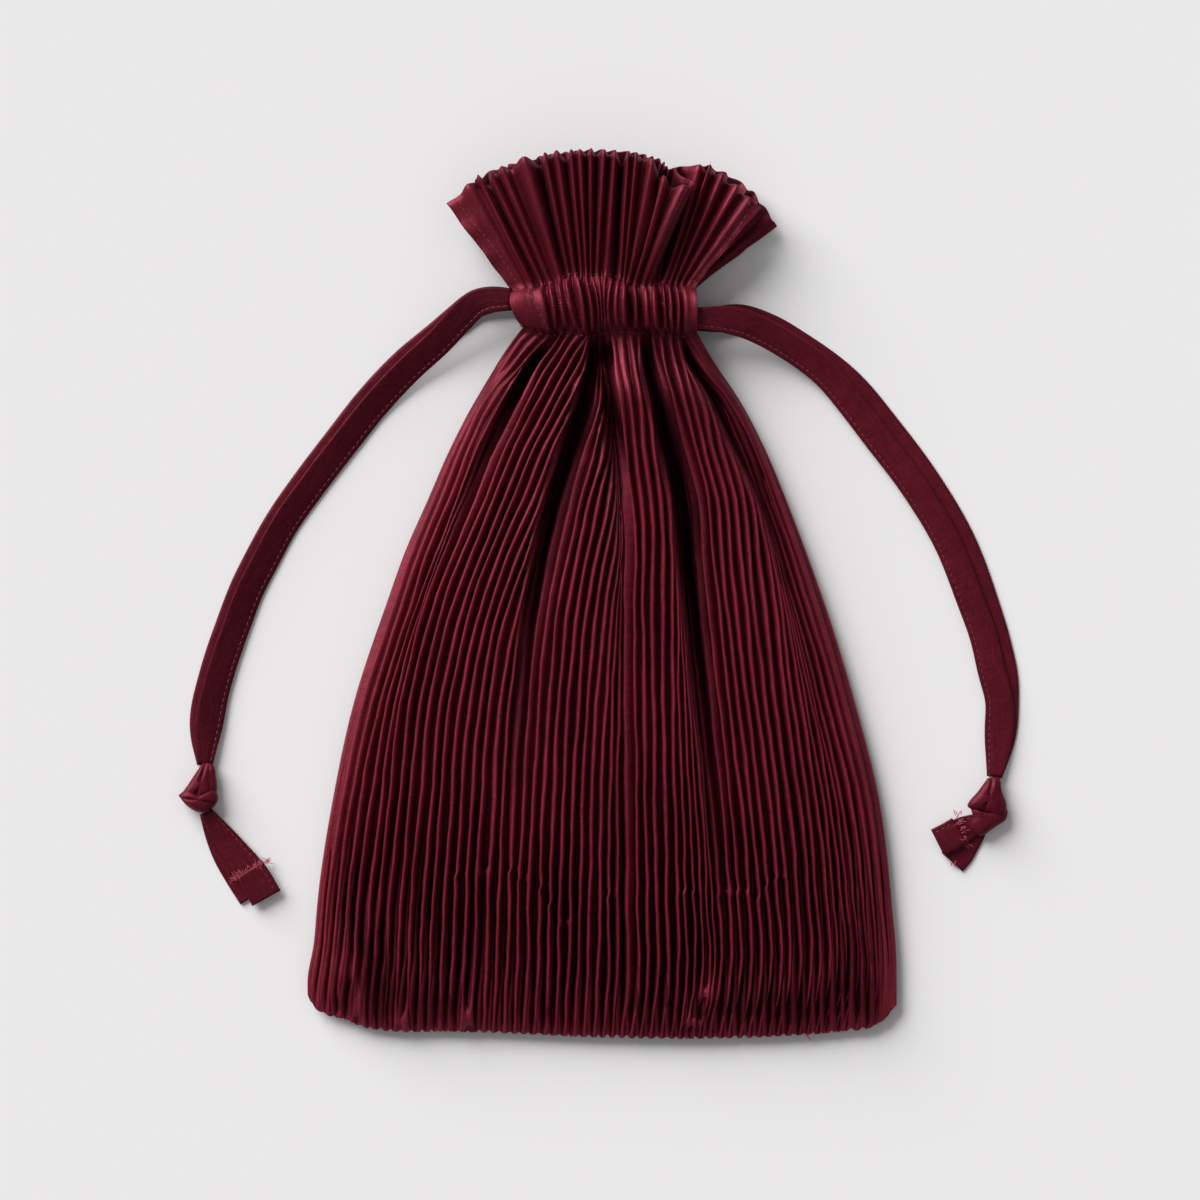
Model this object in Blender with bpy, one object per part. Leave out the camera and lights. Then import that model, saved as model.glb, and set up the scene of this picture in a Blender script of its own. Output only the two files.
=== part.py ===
"""A pleated satin pouch that lies on its back panel, gathered at the neck by two drawstrings of flat tape.

Metres, +Z up, +Y towards the mouth, +X to the right.
The origin is on the table, under the middle of the pouch.
"""

import functools
import math

import bmesh
import bpy
from mathutils import Vector

# Lengths along the bag, from the bottom seam to the folded top of the frill
BODY_LENGTH = 0.2385
CASING_LENGTH = 0.0164
FRILL_LENGTH = 0.0450

# Widths and heights of the body
BODY_HALF_WIDTH = 0.1000
NECK_HALF_WIDTH = 0.0294
NECK_FLARE = 2.15  # how fast the sides leave the neck: higher is faster
CORNER_SHARPNESS = (4, 16)  # the bottom edge rises by the mean of these two powers of the share across
CORNER_RISE = 0.0120  # how far the bottom edge rises at the side seams
SEAM_HEIGHT = 0.0034
DOME_RISE = 0.0165
DOME_FULLNESS = 0.6  # lower is fuller, for the dome and for the flat back's edges
DOME_POWERS = (2.6, 3)  # how late the dome falls, across and along
FLAT_POWERS = (12, 24)  # the same for the back, which lies flat almost to its edges
NECK_GAP = 0.0065  # between the two casings
NECK_ARCH = 0.0012  # the front casing's fall from its middle to its ends
SLIT_SHARE = 0.10  # the side seams end this share of the body below the casing

# Cloth and pleats
CLOTH = 0.0008
FRILL_CLOTH = 0.0012  # two layers, because the frill is turned down inside
PLEAT_FOLDS = 108  # slopes across one panel, two to a pleat
SEAM_STRIPS = 3  # smooth strips beside each side seam
PLEAT_DEPTH = 0.0026
EDGE_PLEAT_DEPTH = 0.0012
FULL_PLEATS_FROM = 0.35  # share of the body's length, from the neck, where the pleats are at full depth
GATHER_DEPTH = 0.0007
FRILL_RIDGE_DEPTH = 0.0022
HEM_SHARE = 0.78  # the casing and the frill are hemmed flat from here to their ends

# Frill, a fan about a point below the neck
FAN_RADIUS = 0.0850
FAN_OFFSET = 0.0050
FRONT_FAN = (math.radians(-41), math.radians(31))
BACK_FAN = (math.radians(-36), math.radians(42))
FRILL_RISE = 0.0090
FRILL_END_DROP = 0.6  # share of the rise that the frill's ends lack
FRILL_FOLD_DEPTH = 0.0060
FRILL_FOLD_PLACE = 0.46
FRILL_FOLD_WIDTH_SHARE = 0.07

# Valleys that run down the front from the neck: share of the half width at the neck and at the end,
# share of the body's length at the end, depth
VALLEYS = (
    (-0.60, -0.71, 0.16, 0.0025),
    (-0.13, -0.32, 0.38, 0.0045),
    (0.01, 0.12, 0.30, 0.0022),
    (0.38, 0.37, 0.42, 0.0045),
    (0.83, 0.88, 0.30, 0.0022),
)
VALLEY_WIDTH_SHARE = 0.075
VALLEY_START_SHARE = 0.06

# Drawstrings of folded tape
TAPE_WIDTH = 0.0095
TAPE_THICKNESS = 0.0008
KNOTTED_TAPE_WIDTH = 0.0052
GATHERED_TAPE_THICKNESS = 0.0012  # inside the casings the tape is drawn together and folded
CHANNEL_HEIGHT = 0.0022
CHANNEL_WALL = 0.0006
TAPE_STEP = 0.0140
KNOT_HEIGHT = 0.0070
KNOT_LEVELS = ((0.014, 0.80), (0.35, 1.0), (0.75, 0.85), (1.0, 0.40))  # shares of its height and outline
SLIT_CLEARANCE = 0.0012  # from the casing's end to the tape's turn
CLEARANCE = 0.0003  # between pieces that touch

# Places that follow from the sizes
TOTAL_LENGTH = BODY_LENGTH + CASING_LENGTH + FRILL_LENGTH
BOTTOM_Y = -TOTAL_LENGTH / 2
NECK_Y = BOTTOM_Y + BODY_LENGTH
STITCH_Y = NECK_Y + CASING_LENGTH
TOP_Y = STITCH_Y + FRILL_LENGTH
CASING_HEIGHT = GATHER_DEPTH + CHANNEL_WALL + CHANNEL_HEIGHT + CHANNEL_WALL + GATHER_DEPTH
CHANNEL_MIDDLE = GATHER_DEPTH + CHANNEL_WALL + CHANNEL_HEIGHT / 2
FRONT_BASE = CASING_HEIGHT + NECK_GAP
CHANNEL_MARGIN = 0.0014  # from a row of stitches to the channel
LANE_WIDTH = (CASING_LENGTH - 2 * CHANNEL_MARGIN - 3 * CLEARANCE) / 2
LOWER_LANE_Y = NECK_Y + CHANNEL_MARGIN + CLEARANCE + LANE_WIDTH / 2
UPPER_LANE_Y = LOWER_LANE_Y + LANE_WIDTH + CLEARANCE
FRONT_RUN_Z = FRONT_BASE + CHANNEL_MIDDLE
TURN_RADIUS = (FRONT_RUN_Z - NECK_ARCH - CHANNEL_MIDDLE) / 2
RUN_END = NECK_HALF_WIDTH + SLIT_CLEARANCE + TURN_RADIUS + GATHERED_TAPE_THICKNESS
STRAND_START = RUN_END + CLEARANCE
STRAND_FRONT_Z = FRONT_RUN_Z - NECK_ARCH

# Shares of the body's length, from the neck, where the panels have a row of points
BODY_ROW_SHARES = (1.0, 0.965, 0.82, 0.62, 0.42, 0.24, SLIT_SHARE, 0.0)
COLUMNS = PLEAT_FOLDS + 2 * SEAM_STRIPS
MIDDLE = COLUMNS // 2

# Looks
SATIN_COLOUR = (0.090, 0.007, 0.016, 1.0)
TAPE_COLOUR = (0.100, 0.009, 0.020, 1.0)
SATIN_ROUGHNESS = 0.42

# Routes of the tapes' free lengths, by the middle of the tape, from where each leaves its casing
LEFT_UPPER_ROUTE = (
    (-STRAND_START, UPPER_LANE_Y, STRAND_FRONT_Z),
    (-0.0422, 0.0988, 0.0114),
    (-0.0482, 0.0935, 0.0092),
    (-0.0553, 0.0860, 0.0062),
    (-0.0655, 0.0768, 0.0037),
    (-0.0777, 0.0639, 0.0018),
    (-0.0872, 0.0520, 0.0016),
    (-0.0984, 0.0374, 0.0016),
    (-0.1080, 0.0238, 0.0016),
    (-0.1148, 0.0112, 0.0016),
    (-0.1192, 0.0027, 0.0016),
    (-0.1246, -0.0112, 0.0016),
    (-0.1297, -0.0262, 0.0016),
    (-0.1328, -0.0384, 0.0016),
    (-0.1342, -0.0476, 0.0018),
    (-0.1350, -0.0577, 0.0022),
)
LEFT_UNDER_ROUTE = (
    (-STRAND_START, UPPER_LANE_Y, CHANNEL_MIDDLE),
    (-0.0425, 0.0990, 0.0017),
    (-0.0490, 0.0942, 0.0010),
    (-0.0564, 0.0880, 0.0006),
    (-0.0670, 0.0792, 0.0005),
    (-0.0795, 0.0660, 0.0005),
    (-0.0891, 0.0537, 0.0005),
    (-0.1003, 0.0390, 0.0005),
    (-0.1100, 0.0250, 0.0005),
    (-0.1170, 0.0124, 0.0005),
    (-0.1213, 0.0038, 0.0005),
    (-0.1268, -0.0103, 0.0005),
    (-0.1319, -0.0255, 0.0005),
    (-0.1349, -0.0380, 0.0005),
    (-0.1357, -0.0475, 0.0006),
    (-0.1352, -0.0577, 0.0009),
)
RIGHT_UPPER_ROUTE = (
    (STRAND_START, LOWER_LANE_Y, STRAND_FRONT_Z),
    (0.0478, 0.0918, 0.0100),
    (0.0543, 0.0891, 0.0078),
    (0.0614, 0.0853, 0.0055),
    (0.0763, 0.0745, 0.0022),
    (0.0842, 0.0653, 0.0017),
    (0.0920, 0.0551, 0.0016),
    (0.1059, 0.0367, 0.0016),
    (0.1168, 0.0187, 0.0016),
    (0.1250, -0.0017, 0.0016),
    (0.1294, -0.0139, 0.0016),
    (0.1321, -0.0255, 0.0016),
    (0.1348, -0.0367, 0.0016),
    (0.1347, -0.0452, 0.0016),
    (0.1341, -0.0534, 0.0018),
    (0.1331, -0.0618, 0.0022),
)
RIGHT_UNDER_ROUTE = (
    (STRAND_START, LOWER_LANE_Y, CHANNEL_MIDDLE),
    (0.0465, 0.0940, 0.0012),
    (0.0558, 0.0912, 0.0006),
    (0.0674, 0.0845, 0.0005),
    (0.0826, 0.0732, 0.0005),
    (0.0975, 0.0558, 0.0005),
    (0.1104, 0.0383, 0.0005),
    (0.1220, 0.0184, 0.0005),
    (0.1301, -0.0032, 0.0005),
    (0.1341, -0.0165, 0.0005),
    (0.1366, -0.0293, 0.0005),
    (0.1366, -0.0388, 0.0005),
    (0.1357, -0.0481, 0.0005),
    (0.1345, -0.0555, 0.0006),
    (0.1332, -0.0618, 0.0009),
)
LEFT_TAIL_OVER = (
    (-0.1345, -0.0747, 0.0024),
    (-0.1285, -0.0820, 0.0016),
    (-0.1220, -0.0910, 0.0016),
    (-0.1145, -0.1010, 0.0016),
)
LEFT_TAIL_UNDER = (
    (-0.1352, -0.0747, 0.0009),
    (-0.1310, -0.0840, 0.0005),
    (-0.1260, -0.0940, 0.0005),
    (-0.1205, -0.1035, 0.0005),
)
RIGHT_TAIL_OVER = (
    (0.1292, -0.0768, 0.0024),
    (0.1265, -0.0803, 0.0016),
    (0.1222, -0.0830, 0.0016),
    (0.1165, -0.0842, 0.0016),
)
RIGHT_TAIL_UNDER = (
    (0.1296, -0.0768, 0.0009),
    (0.1278, -0.0812, 0.0005),
    (0.1247, -0.0858, 0.0005),
    (0.1210, -0.0898, 0.0005),
)
LEFT_KNOT = (
    (-0.1379, -0.0582), (-0.1324, -0.0582), (-0.1314, -0.0629), (-0.1311, -0.0690),
    (-0.1338, -0.0740), (-0.1375, -0.0740), (-0.1426, -0.0707), (-0.1440, -0.0680), (-0.1409, -0.0636),
)
RIGHT_KNOT = (
    (0.1314, -0.0623), (0.1348, -0.0623), (0.1362, -0.0680), (0.1372, -0.0751),
    (0.1355, -0.0765), (0.1300, -0.0751), (0.1243, -0.0738), (0.1236, -0.0717), (0.1277, -0.0670),
)


def clear_scene():
    for old in list(bpy.data.objects):
        bpy.data.objects.remove(old, do_unlink=True)


def satin(name, colour):
    material = bpy.data.materials.new(name)
    material.use_nodes = True
    shader = material.node_tree.nodes["Principled BSDF"]
    shader.inputs["Base Color"].default_value = colour
    shader.inputs["Roughness"].default_value = SATIN_ROUGHNESS
    shader.inputs["Metallic"].default_value = 0.0
    shader.inputs["Sheen Weight"].default_value = 0.3
    return material


def add_object(name, mesh_data, colour):
    """Turns a bmesh's faces outwards and makes it an object with a material of its own."""
    bmesh.ops.recalc_face_normals(mesh_data, faces=mesh_data.faces)
    mesh = bpy.data.meshes.new(name)
    mesh_data.to_mesh(mesh)
    mesh_data.free()
    mesh.materials.append(satin(name + "_satin", colour))
    obj = bpy.data.objects.new(name, mesh)
    bpy.context.scene.collection.objects.link(obj)
    return obj


def smooth(share):
    share = min(max(share, 0.0), 1.0)
    return share * share * (3 - 2 * share)


def half_width(t):
    """Half the body's width at share t from the neck to the bottom."""
    return NECK_HALF_WIDTH + (BODY_HALF_WIDTH - NECK_HALF_WIDTH) * (1 - max(1 - t, 0.0) ** NECK_FLARE)


def body_y(t, u):
    edge = (CLOTH + PLEAT_DEPTH) / 2
    soft, sharp = CORNER_SHARPNESS
    bottom = BOTTOM_Y + edge + CORNER_RISE * (u**soft + u**sharp) / 2
    return NECK_Y + (bottom - NECK_Y) * t


@functools.lru_cache(maxsize=None)
def cross_section(is_front, t):
    """Steps over half of a panel's width at share t: distance along the cloth, share of the width, height."""
    steps = 90
    wide = half_width(t)
    found = [(0.0, 0.0, side_height(is_front, t, 0.0))]
    for i in range(1, steps + 1):
        share = math.sin(math.pi / 2 * i / steps)
        height = side_height(is_front, t, share)
        length, before, below = found[-1]
        step = math.hypot((share - before) * wide, height - below)
        found.append((length + step, share, height))
    return found


def side_height(is_front, t, share):
    """Height of the middle of the cloth at a share of the half width, where the sides are seamed."""
    seam = SEAM_HEIGHT + (CLEARANCE if is_front else -CLEARANCE) / 2
    across, along = DOME_POWERS if is_front else FLAT_POWERS
    full = (max(1 - share**across, 0.0) * max(1 - t**along, 0.0)) ** DOME_FULLNESS
    if is_front:
        return seam + DOME_RISE * full
    flat = (CLOTH + pleat_depth(t, share)) / 2
    return flat * full + seam * (1 - full)


def seamed_point(is_front, t, u):
    """A point of the panel where the side seams hold it, evenly spaced along the cloth."""
    section = cross_section(is_front, t)
    target = abs(u) * section[-1][0]
    for (near, share_a, z_a), (far, share_b, z_b) in zip(section, section[1:]):
        if far >= target - 1e-9:
            part = (target - near) / (far - near)
            break
    x = math.copysign(half_width(t) * (share_a + (share_b - share_a) * part), u)
    return Vector((x, body_y(t, u), z_a + (z_b - z_a) * part))


def casing_level(is_front, u, thickness):
    """Height of the middle of the cloth along the rows of stitches."""
    level = (GATHER_DEPTH + thickness) / 2
    return level + (FRONT_BASE - NECK_ARCH * u * u if is_front else 0.0)


def body_point(is_front, t, u):
    """The middle of a body panel's cloth. Above the side seams it rises to the casing's level line."""
    level = Vector((half_width(t) * u, body_y(t, u), casing_level(is_front, u, CLOTH)))
    if t <= 0.0:
        return level
    point = level.lerp(seamed_point(is_front, t, u), smooth(t / SLIT_SHARE))
    if is_front:
        point.z -= valley_depth(t, point.x / half_width(t))
    return point


def valley_depth(t, share):
    total = 0.0
    for start, end, reach, depth in VALLEYS:
        if t < reach:
            middle = start + (end - start) * t / reach
            fade = min(t / VALLEY_START_SHARE, 1.0) * (1 - t / reach)
            total += depth * fade * math.exp(-(((share - middle) / VALLEY_WIDTH_SHARE) ** 2))
    return total


def body_normal(is_front, t, u):
    """The cloth's upward side. It lies level at the seams, so the two panels' edges face each other."""
    step = 1e-4
    across = body_point(is_front, t, min(u + step, 1)) - body_point(is_front, t, max(u - step, -1))
    down = body_point(is_front, min(t + step, 1), u) - body_point(is_front, max(t - step, 0), u)
    normal = down.cross(across)
    if t == 1.0 or (abs(u) == 1.0 and t > 0.0):
        normal.z = 0.0
    return normal.normalized()


def pleat_depth(t, share):
    """Depth of the body's pleats: shallow near the neck and at the sides."""
    at_width = EDGE_PLEAT_DEPTH + (PLEAT_DEPTH - EDGE_PLEAT_DEPTH) * (1 - abs(share) ** 3)
    return GATHER_DEPTH + (at_width - GATHER_DEPTH) * smooth(t / FULL_PLEATS_FROM)


def fold_side(is_front, column):
    """+1 on a fold that stands out of the bag, -1 on one that goes in, 0 beside the side seams.

    The back's middle pleat lies pressed flat on the table, so two outer folds meet there.
    """
    if column < SEAM_STRIPS or column > COLUMNS - SEAM_STRIPS:
        return 0
    shift = 0 if is_front or column <= MIDDLE else 1
    return 1 if (column - SEAM_STRIPS - shift) % 2 == 0 else -1


def frill_side(column):
    """The frill's folds, twice as wide as the body's pleats."""
    return (1, 0, -1, 0)[(column - SEAM_STRIPS) % 4]


def frill_point(is_front, s, u):
    """The middle of the frill at share s from the casing to the folded top."""
    start, end = FRONT_FAN if is_front else BACK_FAN
    angle = start + (end - start) * (u + 1) / 2
    top = Vector((FAN_OFFSET + FAN_RADIUS * math.sin(angle), TOP_Y - FAN_RADIUS * (1 - math.cos(angle)), 0))
    low = Vector((NECK_HALF_WIDTH * u, STITCH_Y, 0))
    point = low.lerp(top, s)
    point.z = casing_level(is_front, u, FRILL_CLOTH)
    if is_front:
        fold = FRILL_FOLD_DEPTH * math.exp(-(((u - FRILL_FOLD_PLACE) / FRILL_FOLD_WIDTH_SHARE) ** 2))
        point.z += s * (FRILL_RISE * (1 - FRILL_END_DROP * u * u) - fold)
    else:
        point.z += s * (FRILL_RIDGE_DEPTH - GATHER_DEPTH) / 2
    return point


def panel_column(is_front, column):
    """One column of a panel: its upper points, its lower points and the casing channel's four corners."""
    u = 2 * column / COLUMNS - 1
    outward = 1 if is_front else -1
    up = Vector((0, 0, 1))
    upper = []
    lower = []
    for t in BODY_ROW_SHARES:
        middle = body_point(is_front, t, u)
        normal = body_normal(is_front, t, u)
        depth = pleat_depth(t, middle.x / half_width(t)) / 2
        middle += normal * outward * fold_side(is_front, column) * depth
        upper.append(middle + normal * CLOTH / 2)
        lower.append(middle - normal * CLOTH / 2)
    gather = 0 if abs(u) > HEM_SHARE else fold_side(is_front, column) * GATHER_DEPTH / 2
    x = NECK_HALF_WIDTH * u
    base = casing_level(is_front, u, 0) - GATHER_DEPTH / 2
    for y in (NECK_Y + CHANNEL_MARGIN, STITCH_Y - CHANNEL_MARGIN):
        upper.append(Vector((x, y, base + CASING_HEIGHT - GATHER_DEPTH / 2 + gather)))
    for s in (0.0, 1.0):
        side = (1 - s) * gather
        if abs(u) < HEM_SHARE:
            side += s * frill_side(column) * FRILL_RIDGE_DEPTH / 2
        middle = frill_point(is_front, s, u) + up * side * outward
        upper.append(middle + up * FRILL_CLOTH / 2)
        lower.append(middle - up * FRILL_CLOTH / 2)
    low = base + GATHER_DEPTH + CHANNEL_WALL
    near = NECK_Y + CHANNEL_MARGIN
    far = STITCH_Y - CHANNEL_MARGIN
    high = low + CHANNEL_HEIGHT
    channel = [Vector((x, y, z)) for y, z in ((near, low), (far, low), (far, high), (near, high))]
    return upper, lower, channel


def close_end(shell, upper, lower, channel):
    """Closes a panel's end between its upper and lower points, round the channel's mouth."""
    neck = len(BODY_ROW_SHARES) - 1
    for i in range(neck):
        shell.faces.new((upper[i], upper[i + 1], lower[i + 1], lower[i]))
    shell.faces.new((upper[neck + 1], upper[neck + 2], channel[2], channel[3]))
    shell.faces.new((upper[neck + 2], upper[neck + 3], channel[2]))
    shell.faces.new((upper[neck + 3], lower[neck + 1], channel[1], channel[2]))
    shell.faces.new((lower[neck + 1], lower[neck], channel[0], channel[1]))
    shell.faces.new((upper[neck], upper[neck + 1], channel[3]))
    shell.faces.new((upper[neck], channel[3], channel[0], lower[neck]))
    shell.faces.new((upper[neck + 3], upper[neck + 4], lower[neck + 2], lower[neck + 1]))


def make_panel(name, is_front):
    """One pleated panel with its casing channel, open at both side slits, and its doubled frill."""
    shell = bmesh.new()
    columns = []
    for column in range(COLUMNS + 1):
        columns.append([[shell.verts.new(p) for p in points] for points in panel_column(is_front, column)])
    for one, two in zip(columns, columns[1:]):
        for loop_a, loop_b in ((one[0] + one[1][::-1], two[0] + two[1][::-1]), (one[2], two[2])):
            for i in range(len(loop_a)):
                after = (i + 1) % len(loop_a)
                shell.faces.new((loop_a[i], loop_a[after], loop_b[after], loop_b[i]))
    for end in (columns[0], columns[-1]):
        close_end(shell, *end)
    return add_object(name, shell, SATIN_COLOUR)


def curve_through(points, step):
    """Evenly spaced points on a smooth curve through the given ones."""
    fine = []
    parts = 8
    for i in range(len(points) - 1):
        a, b = points[i], points[i + 1]
        before = points[i - 1] if i else a * 2 - b
        after = points[i + 2] if i + 2 < len(points) else b * 2 - a
        for k in range(parts):
            s = k / parts
            fine.append(
                0.5 * (2 * a + (b - before) * s + (2 * before - 5 * a + 4 * b - after) * s**2
                       + (3 * a - before - 3 * b + after) * s**3)
            )
    fine.append(points[-1])
    lengths = [0.0]
    for a, b in zip(fine, fine[1:]):
        lengths.append(lengths[-1] + (b - a).length)
    count = max(round(lengths[-1] / step), 2)
    found = [fine[0]]
    place = 0
    for i in range(1, count):
        target = lengths[-1] * i / count
        while lengths[place + 1] < target:
            place += 1
        part = (target - lengths[place]) / (lengths[place + 1] - lengths[place])
        found.append(fine[place].lerp(fine[place + 1], part))
    return found + [fine[-1]]


def make_tape(name, points, widths, thickness, square_ends=0, across_y=False):
    """A flat tape along the points. Its width lies level, or along Y in the casings and at a square start."""
    tape = bmesh.new()
    rings = []
    for i, point in enumerate(points):
        along = (points[min(i + 1, len(points) - 1)] - points[max(i - 1, 0)]).normalized()
        across = along.cross(Vector((0, 0, 1))).normalized()
        if across_y or i < square_ends:
            across = Vector((0, 1, 0))
            along = Vector((along.x, 0, along.z)).normalized()
        up = across.cross(along).normalized()
        wide = across * widths[i] / 2
        high = up * thickness / 2
        rings.append([tape.verts.new(p) for p in (point + wide + high, point - wide + high,
                                                  point - wide - high, point + wide - high)])
    for one, two in zip(rings, rings[1:]):
        for i in range(4):
            tape.faces.new((one[i], one[(i + 1) % 4], two[(i + 1) % 4], two[i]))
    tape.faces.new(rings[0])
    tape.faces.new(rings[-1])
    return add_object(name, tape, TAPE_COLOUR)


def make_strand(name, route, narrow_start=False):
    """A free length of tape. It narrows where it leaves the casing and where it goes into the knot."""
    step = TAPE_STEP if not narrow_start else TAPE_STEP / 2
    points = curve_through([Vector(p) for p in route], step)
    widths = [TAPE_WIDTH] * len(points)
    if narrow_start:
        widths[0] = KNOTTED_TAPE_WIDTH
    else:
        widths[0] = LANE_WIDTH
        widths[-1] = KNOTTED_TAPE_WIDTH
    return make_tape(name, points, widths, TAPE_THICKNESS, square_ends=0 if narrow_start else 1)


def make_casing_run(name, side, lane_y):
    """The stretch of one drawstring inside the casings: in at its own side, round the far slit and back."""
    far = NECK_HALF_WIDTH + SLIT_CLEARANCE
    straight = 5
    turns = 6
    places = [side * (RUN_END - (RUN_END + far) * i / (straight - 1)) for i in range(straight)]
    points = []
    for x in places:
        drop = NECK_ARCH * min(abs(x) / NECK_HALF_WIDTH, 1) ** 2
        points.append(Vector((x, lane_y, FRONT_RUN_Z - drop)))
    for i in range(1, turns):
        angle = math.pi * i / turns
        x = -side * (far + TURN_RADIUS * math.sin(angle))
        points.append(Vector((x, lane_y, CHANNEL_MIDDLE + TURN_RADIUS * (1 + math.cos(angle)))))
    points += [Vector((x, lane_y, CHANNEL_MIDDLE)) for x in reversed(places)]
    widths = [LANE_WIDTH] * len(points)
    return make_tape(name, points, widths, GATHERED_TAPE_THICKNESS, across_y=True)


def make_knot(name, outline):
    """The outer shape of a tight overhand knot in doubled tape."""
    knot = bmesh.new()
    middle = sum((Vector(p) for p in outline), Vector((0, 0))) / len(outline)
    rings = []
    for level, share in KNOT_LEVELS:
        ring = [middle + (Vector(p) - middle) * share for p in outline]
        rings.append([knot.verts.new((p.x, p.y, level * KNOT_HEIGHT)) for p in ring])
    for one, two in zip(rings, rings[1:]):
        for i in range(len(one)):
            after = (i + 1) % len(one)
            knot.faces.new((one[i], one[after], two[after], two[i]))
    knot.faces.new(rings[0])
    knot.faces.new(rings[-1])
    return add_object(name, knot, TAPE_COLOUR)


clear_scene()
make_panel("front_panel", True)
make_panel("back_panel", False)
make_casing_run("left_drawstring", -1, UPPER_LANE_Y)
make_casing_run("right_drawstring", 1, LOWER_LANE_Y)
make_strand("left_upper_strand", LEFT_UPPER_ROUTE)
make_strand("left_under_strand", LEFT_UNDER_ROUTE)
make_strand("right_upper_strand", RIGHT_UPPER_ROUTE)
make_strand("right_under_strand", RIGHT_UNDER_ROUTE)
make_knot("left_knot", LEFT_KNOT)
make_knot("right_knot", RIGHT_KNOT)
make_strand("left_tail_over", LEFT_TAIL_OVER, narrow_start=True)
make_strand("left_tail_under", LEFT_TAIL_UNDER, narrow_start=True)
make_strand("right_tail_over", RIGHT_TAIL_OVER, narrow_start=True)
make_strand("right_tail_under", RIGHT_TAIL_UNDER, narrow_start=True)
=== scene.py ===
"""The looks of a pleated satin pouch that lies on a table with its two drawstrings spread at its sides.

Metres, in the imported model's frame. Places that are given in millimetres are turned to metres by MM.
"""

import math

import bpy
import numpy as np
from mathutils.bvhtree import BVHTree
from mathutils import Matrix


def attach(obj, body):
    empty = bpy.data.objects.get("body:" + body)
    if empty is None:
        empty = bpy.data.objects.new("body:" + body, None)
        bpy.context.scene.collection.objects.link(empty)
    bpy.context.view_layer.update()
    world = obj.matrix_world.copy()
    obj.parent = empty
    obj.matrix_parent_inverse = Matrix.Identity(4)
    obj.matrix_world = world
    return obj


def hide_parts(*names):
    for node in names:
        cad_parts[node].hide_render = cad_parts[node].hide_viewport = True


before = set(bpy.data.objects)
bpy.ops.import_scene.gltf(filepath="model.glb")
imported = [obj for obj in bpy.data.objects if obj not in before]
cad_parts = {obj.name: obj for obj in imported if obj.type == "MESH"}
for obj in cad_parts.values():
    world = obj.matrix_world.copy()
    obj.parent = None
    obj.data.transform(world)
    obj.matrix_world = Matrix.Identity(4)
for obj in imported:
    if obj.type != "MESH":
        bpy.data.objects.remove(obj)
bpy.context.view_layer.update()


# ---------------------------------------------------------------- Table, camera and light
# The pouch lies on a plain pale table and is seen from straight above. A large soft lamp stands at the
# upper left, and the white room fills in the rest.
MM = 0.001
CAMERA_HEIGHT = 2.0
VIEW_WIDTH = 0.408
VIEW_CENTRE = (-0.85 * MM, -1.70 * MM)
LAMP_DIRECTION = (-0.52, 0.61, 0.38)
LAMP_SPREAD = math.radians(46)
LAMP_STRENGTH = 4.95
LAMP_DISTANCE = 2.0
ROOM_STRENGTH = 0.285
WHITE = (1.0, 1.0, 1.0, 1.0)
TABLE_COLOUR = (0.86, 0.845, 0.85, 1.0)
TABLE_ROUGHNESS = 0.9
TABLE_CORNERS = ((-3, -3, 0), (3, -3, 0), (3, 3, 0), (-3, 3, 0))


def put(name, data):
    """A new object in the scene, at the origin."""
    item = bpy.data.objects.new(name, data)
    bpy.context.scene.collection.objects.link(item)
    return item


def fill(node, values):
    """Gives a node's named inputs their values."""
    for label, value in values.items():
        node.inputs[label].default_value = value


def new_material(name, values):
    """A material whose own shader has the given values, and that shader."""
    material = bpy.data.materials.new(name)
    material.use_nodes = True
    shader = material.node_tree.nodes["Principled BSDF"]
    fill(shader, values)
    return material, shader


camera = bpy.data.cameras.new("camera")
camera.lens = camera.sensor_width * CAMERA_HEIGHT / VIEW_WIDTH
camera_object = put("camera", camera)
camera_object.location = (*VIEW_CENTRE, CAMERA_HEIGHT)
bpy.context.scene.camera = camera_object
bpy.context.scene.view_settings.view_transform = "Standard"

lamp = bpy.data.lights.new("soft_lamp", "SUN")
lamp.energy = LAMP_STRENGTH
lamp.angle = LAMP_SPREAD
lamp_object = put("soft_lamp", lamp)
lamp_object.location = [LAMP_DISTANCE * part for part in LAMP_DIRECTION]
lamp_object.rotation_euler = (
    math.atan2(math.hypot(LAMP_DIRECTION[0], LAMP_DIRECTION[1]), LAMP_DIRECTION[2]),
    0.0,
    math.atan2(LAMP_DIRECTION[0], -LAMP_DIRECTION[1]),
)

room = bpy.data.worlds.new("room")
room.use_nodes = True
fill(room.node_tree.nodes["Background"], {"Color": WHITE, "Strength": ROOM_STRENGTH})
bpy.context.scene.world = room

table_mesh = bpy.data.meshes.new("table")
table_mesh.from_pydata(TABLE_CORNERS, [], [(0, 1, 2, 3)])
table_look = {"Base Color": TABLE_COLOUR, "Roughness": TABLE_ROUGHNESS, "Specular IOR Level": 0.0}
table_mesh.materials.append(new_material("pale_table", table_look)[0])
put("table", table_mesh)


# ---------------------------------------------------------------- Sewing thread
# Burgundy polyester thread: lockstitch on the casing, the hems and the tapes, and a few loose ends.
STITCH_LENGTH = 1.5 * MM
STITCH_PITCH = 2.3 * MM
THREAD_WIDTH = 0.32 * MM
THREAD_COLOUR = (0.160, 0.012, 0.027, 1.0)
FIBRE_COLOUR = (0.420, 0.035, 0.070, 1.0)
THREAD_LOOK = {"Roughness": 0.55, "Sheen Weight": 0.2}

thread = new_material("sewing_thread", {"Base Color": THREAD_COLOUR, **THREAD_LOOK})[0]
fibre = new_material("loose_fibre", {"Base Color": FIBRE_COLOUR, **THREAD_LOOK})[0]


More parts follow.
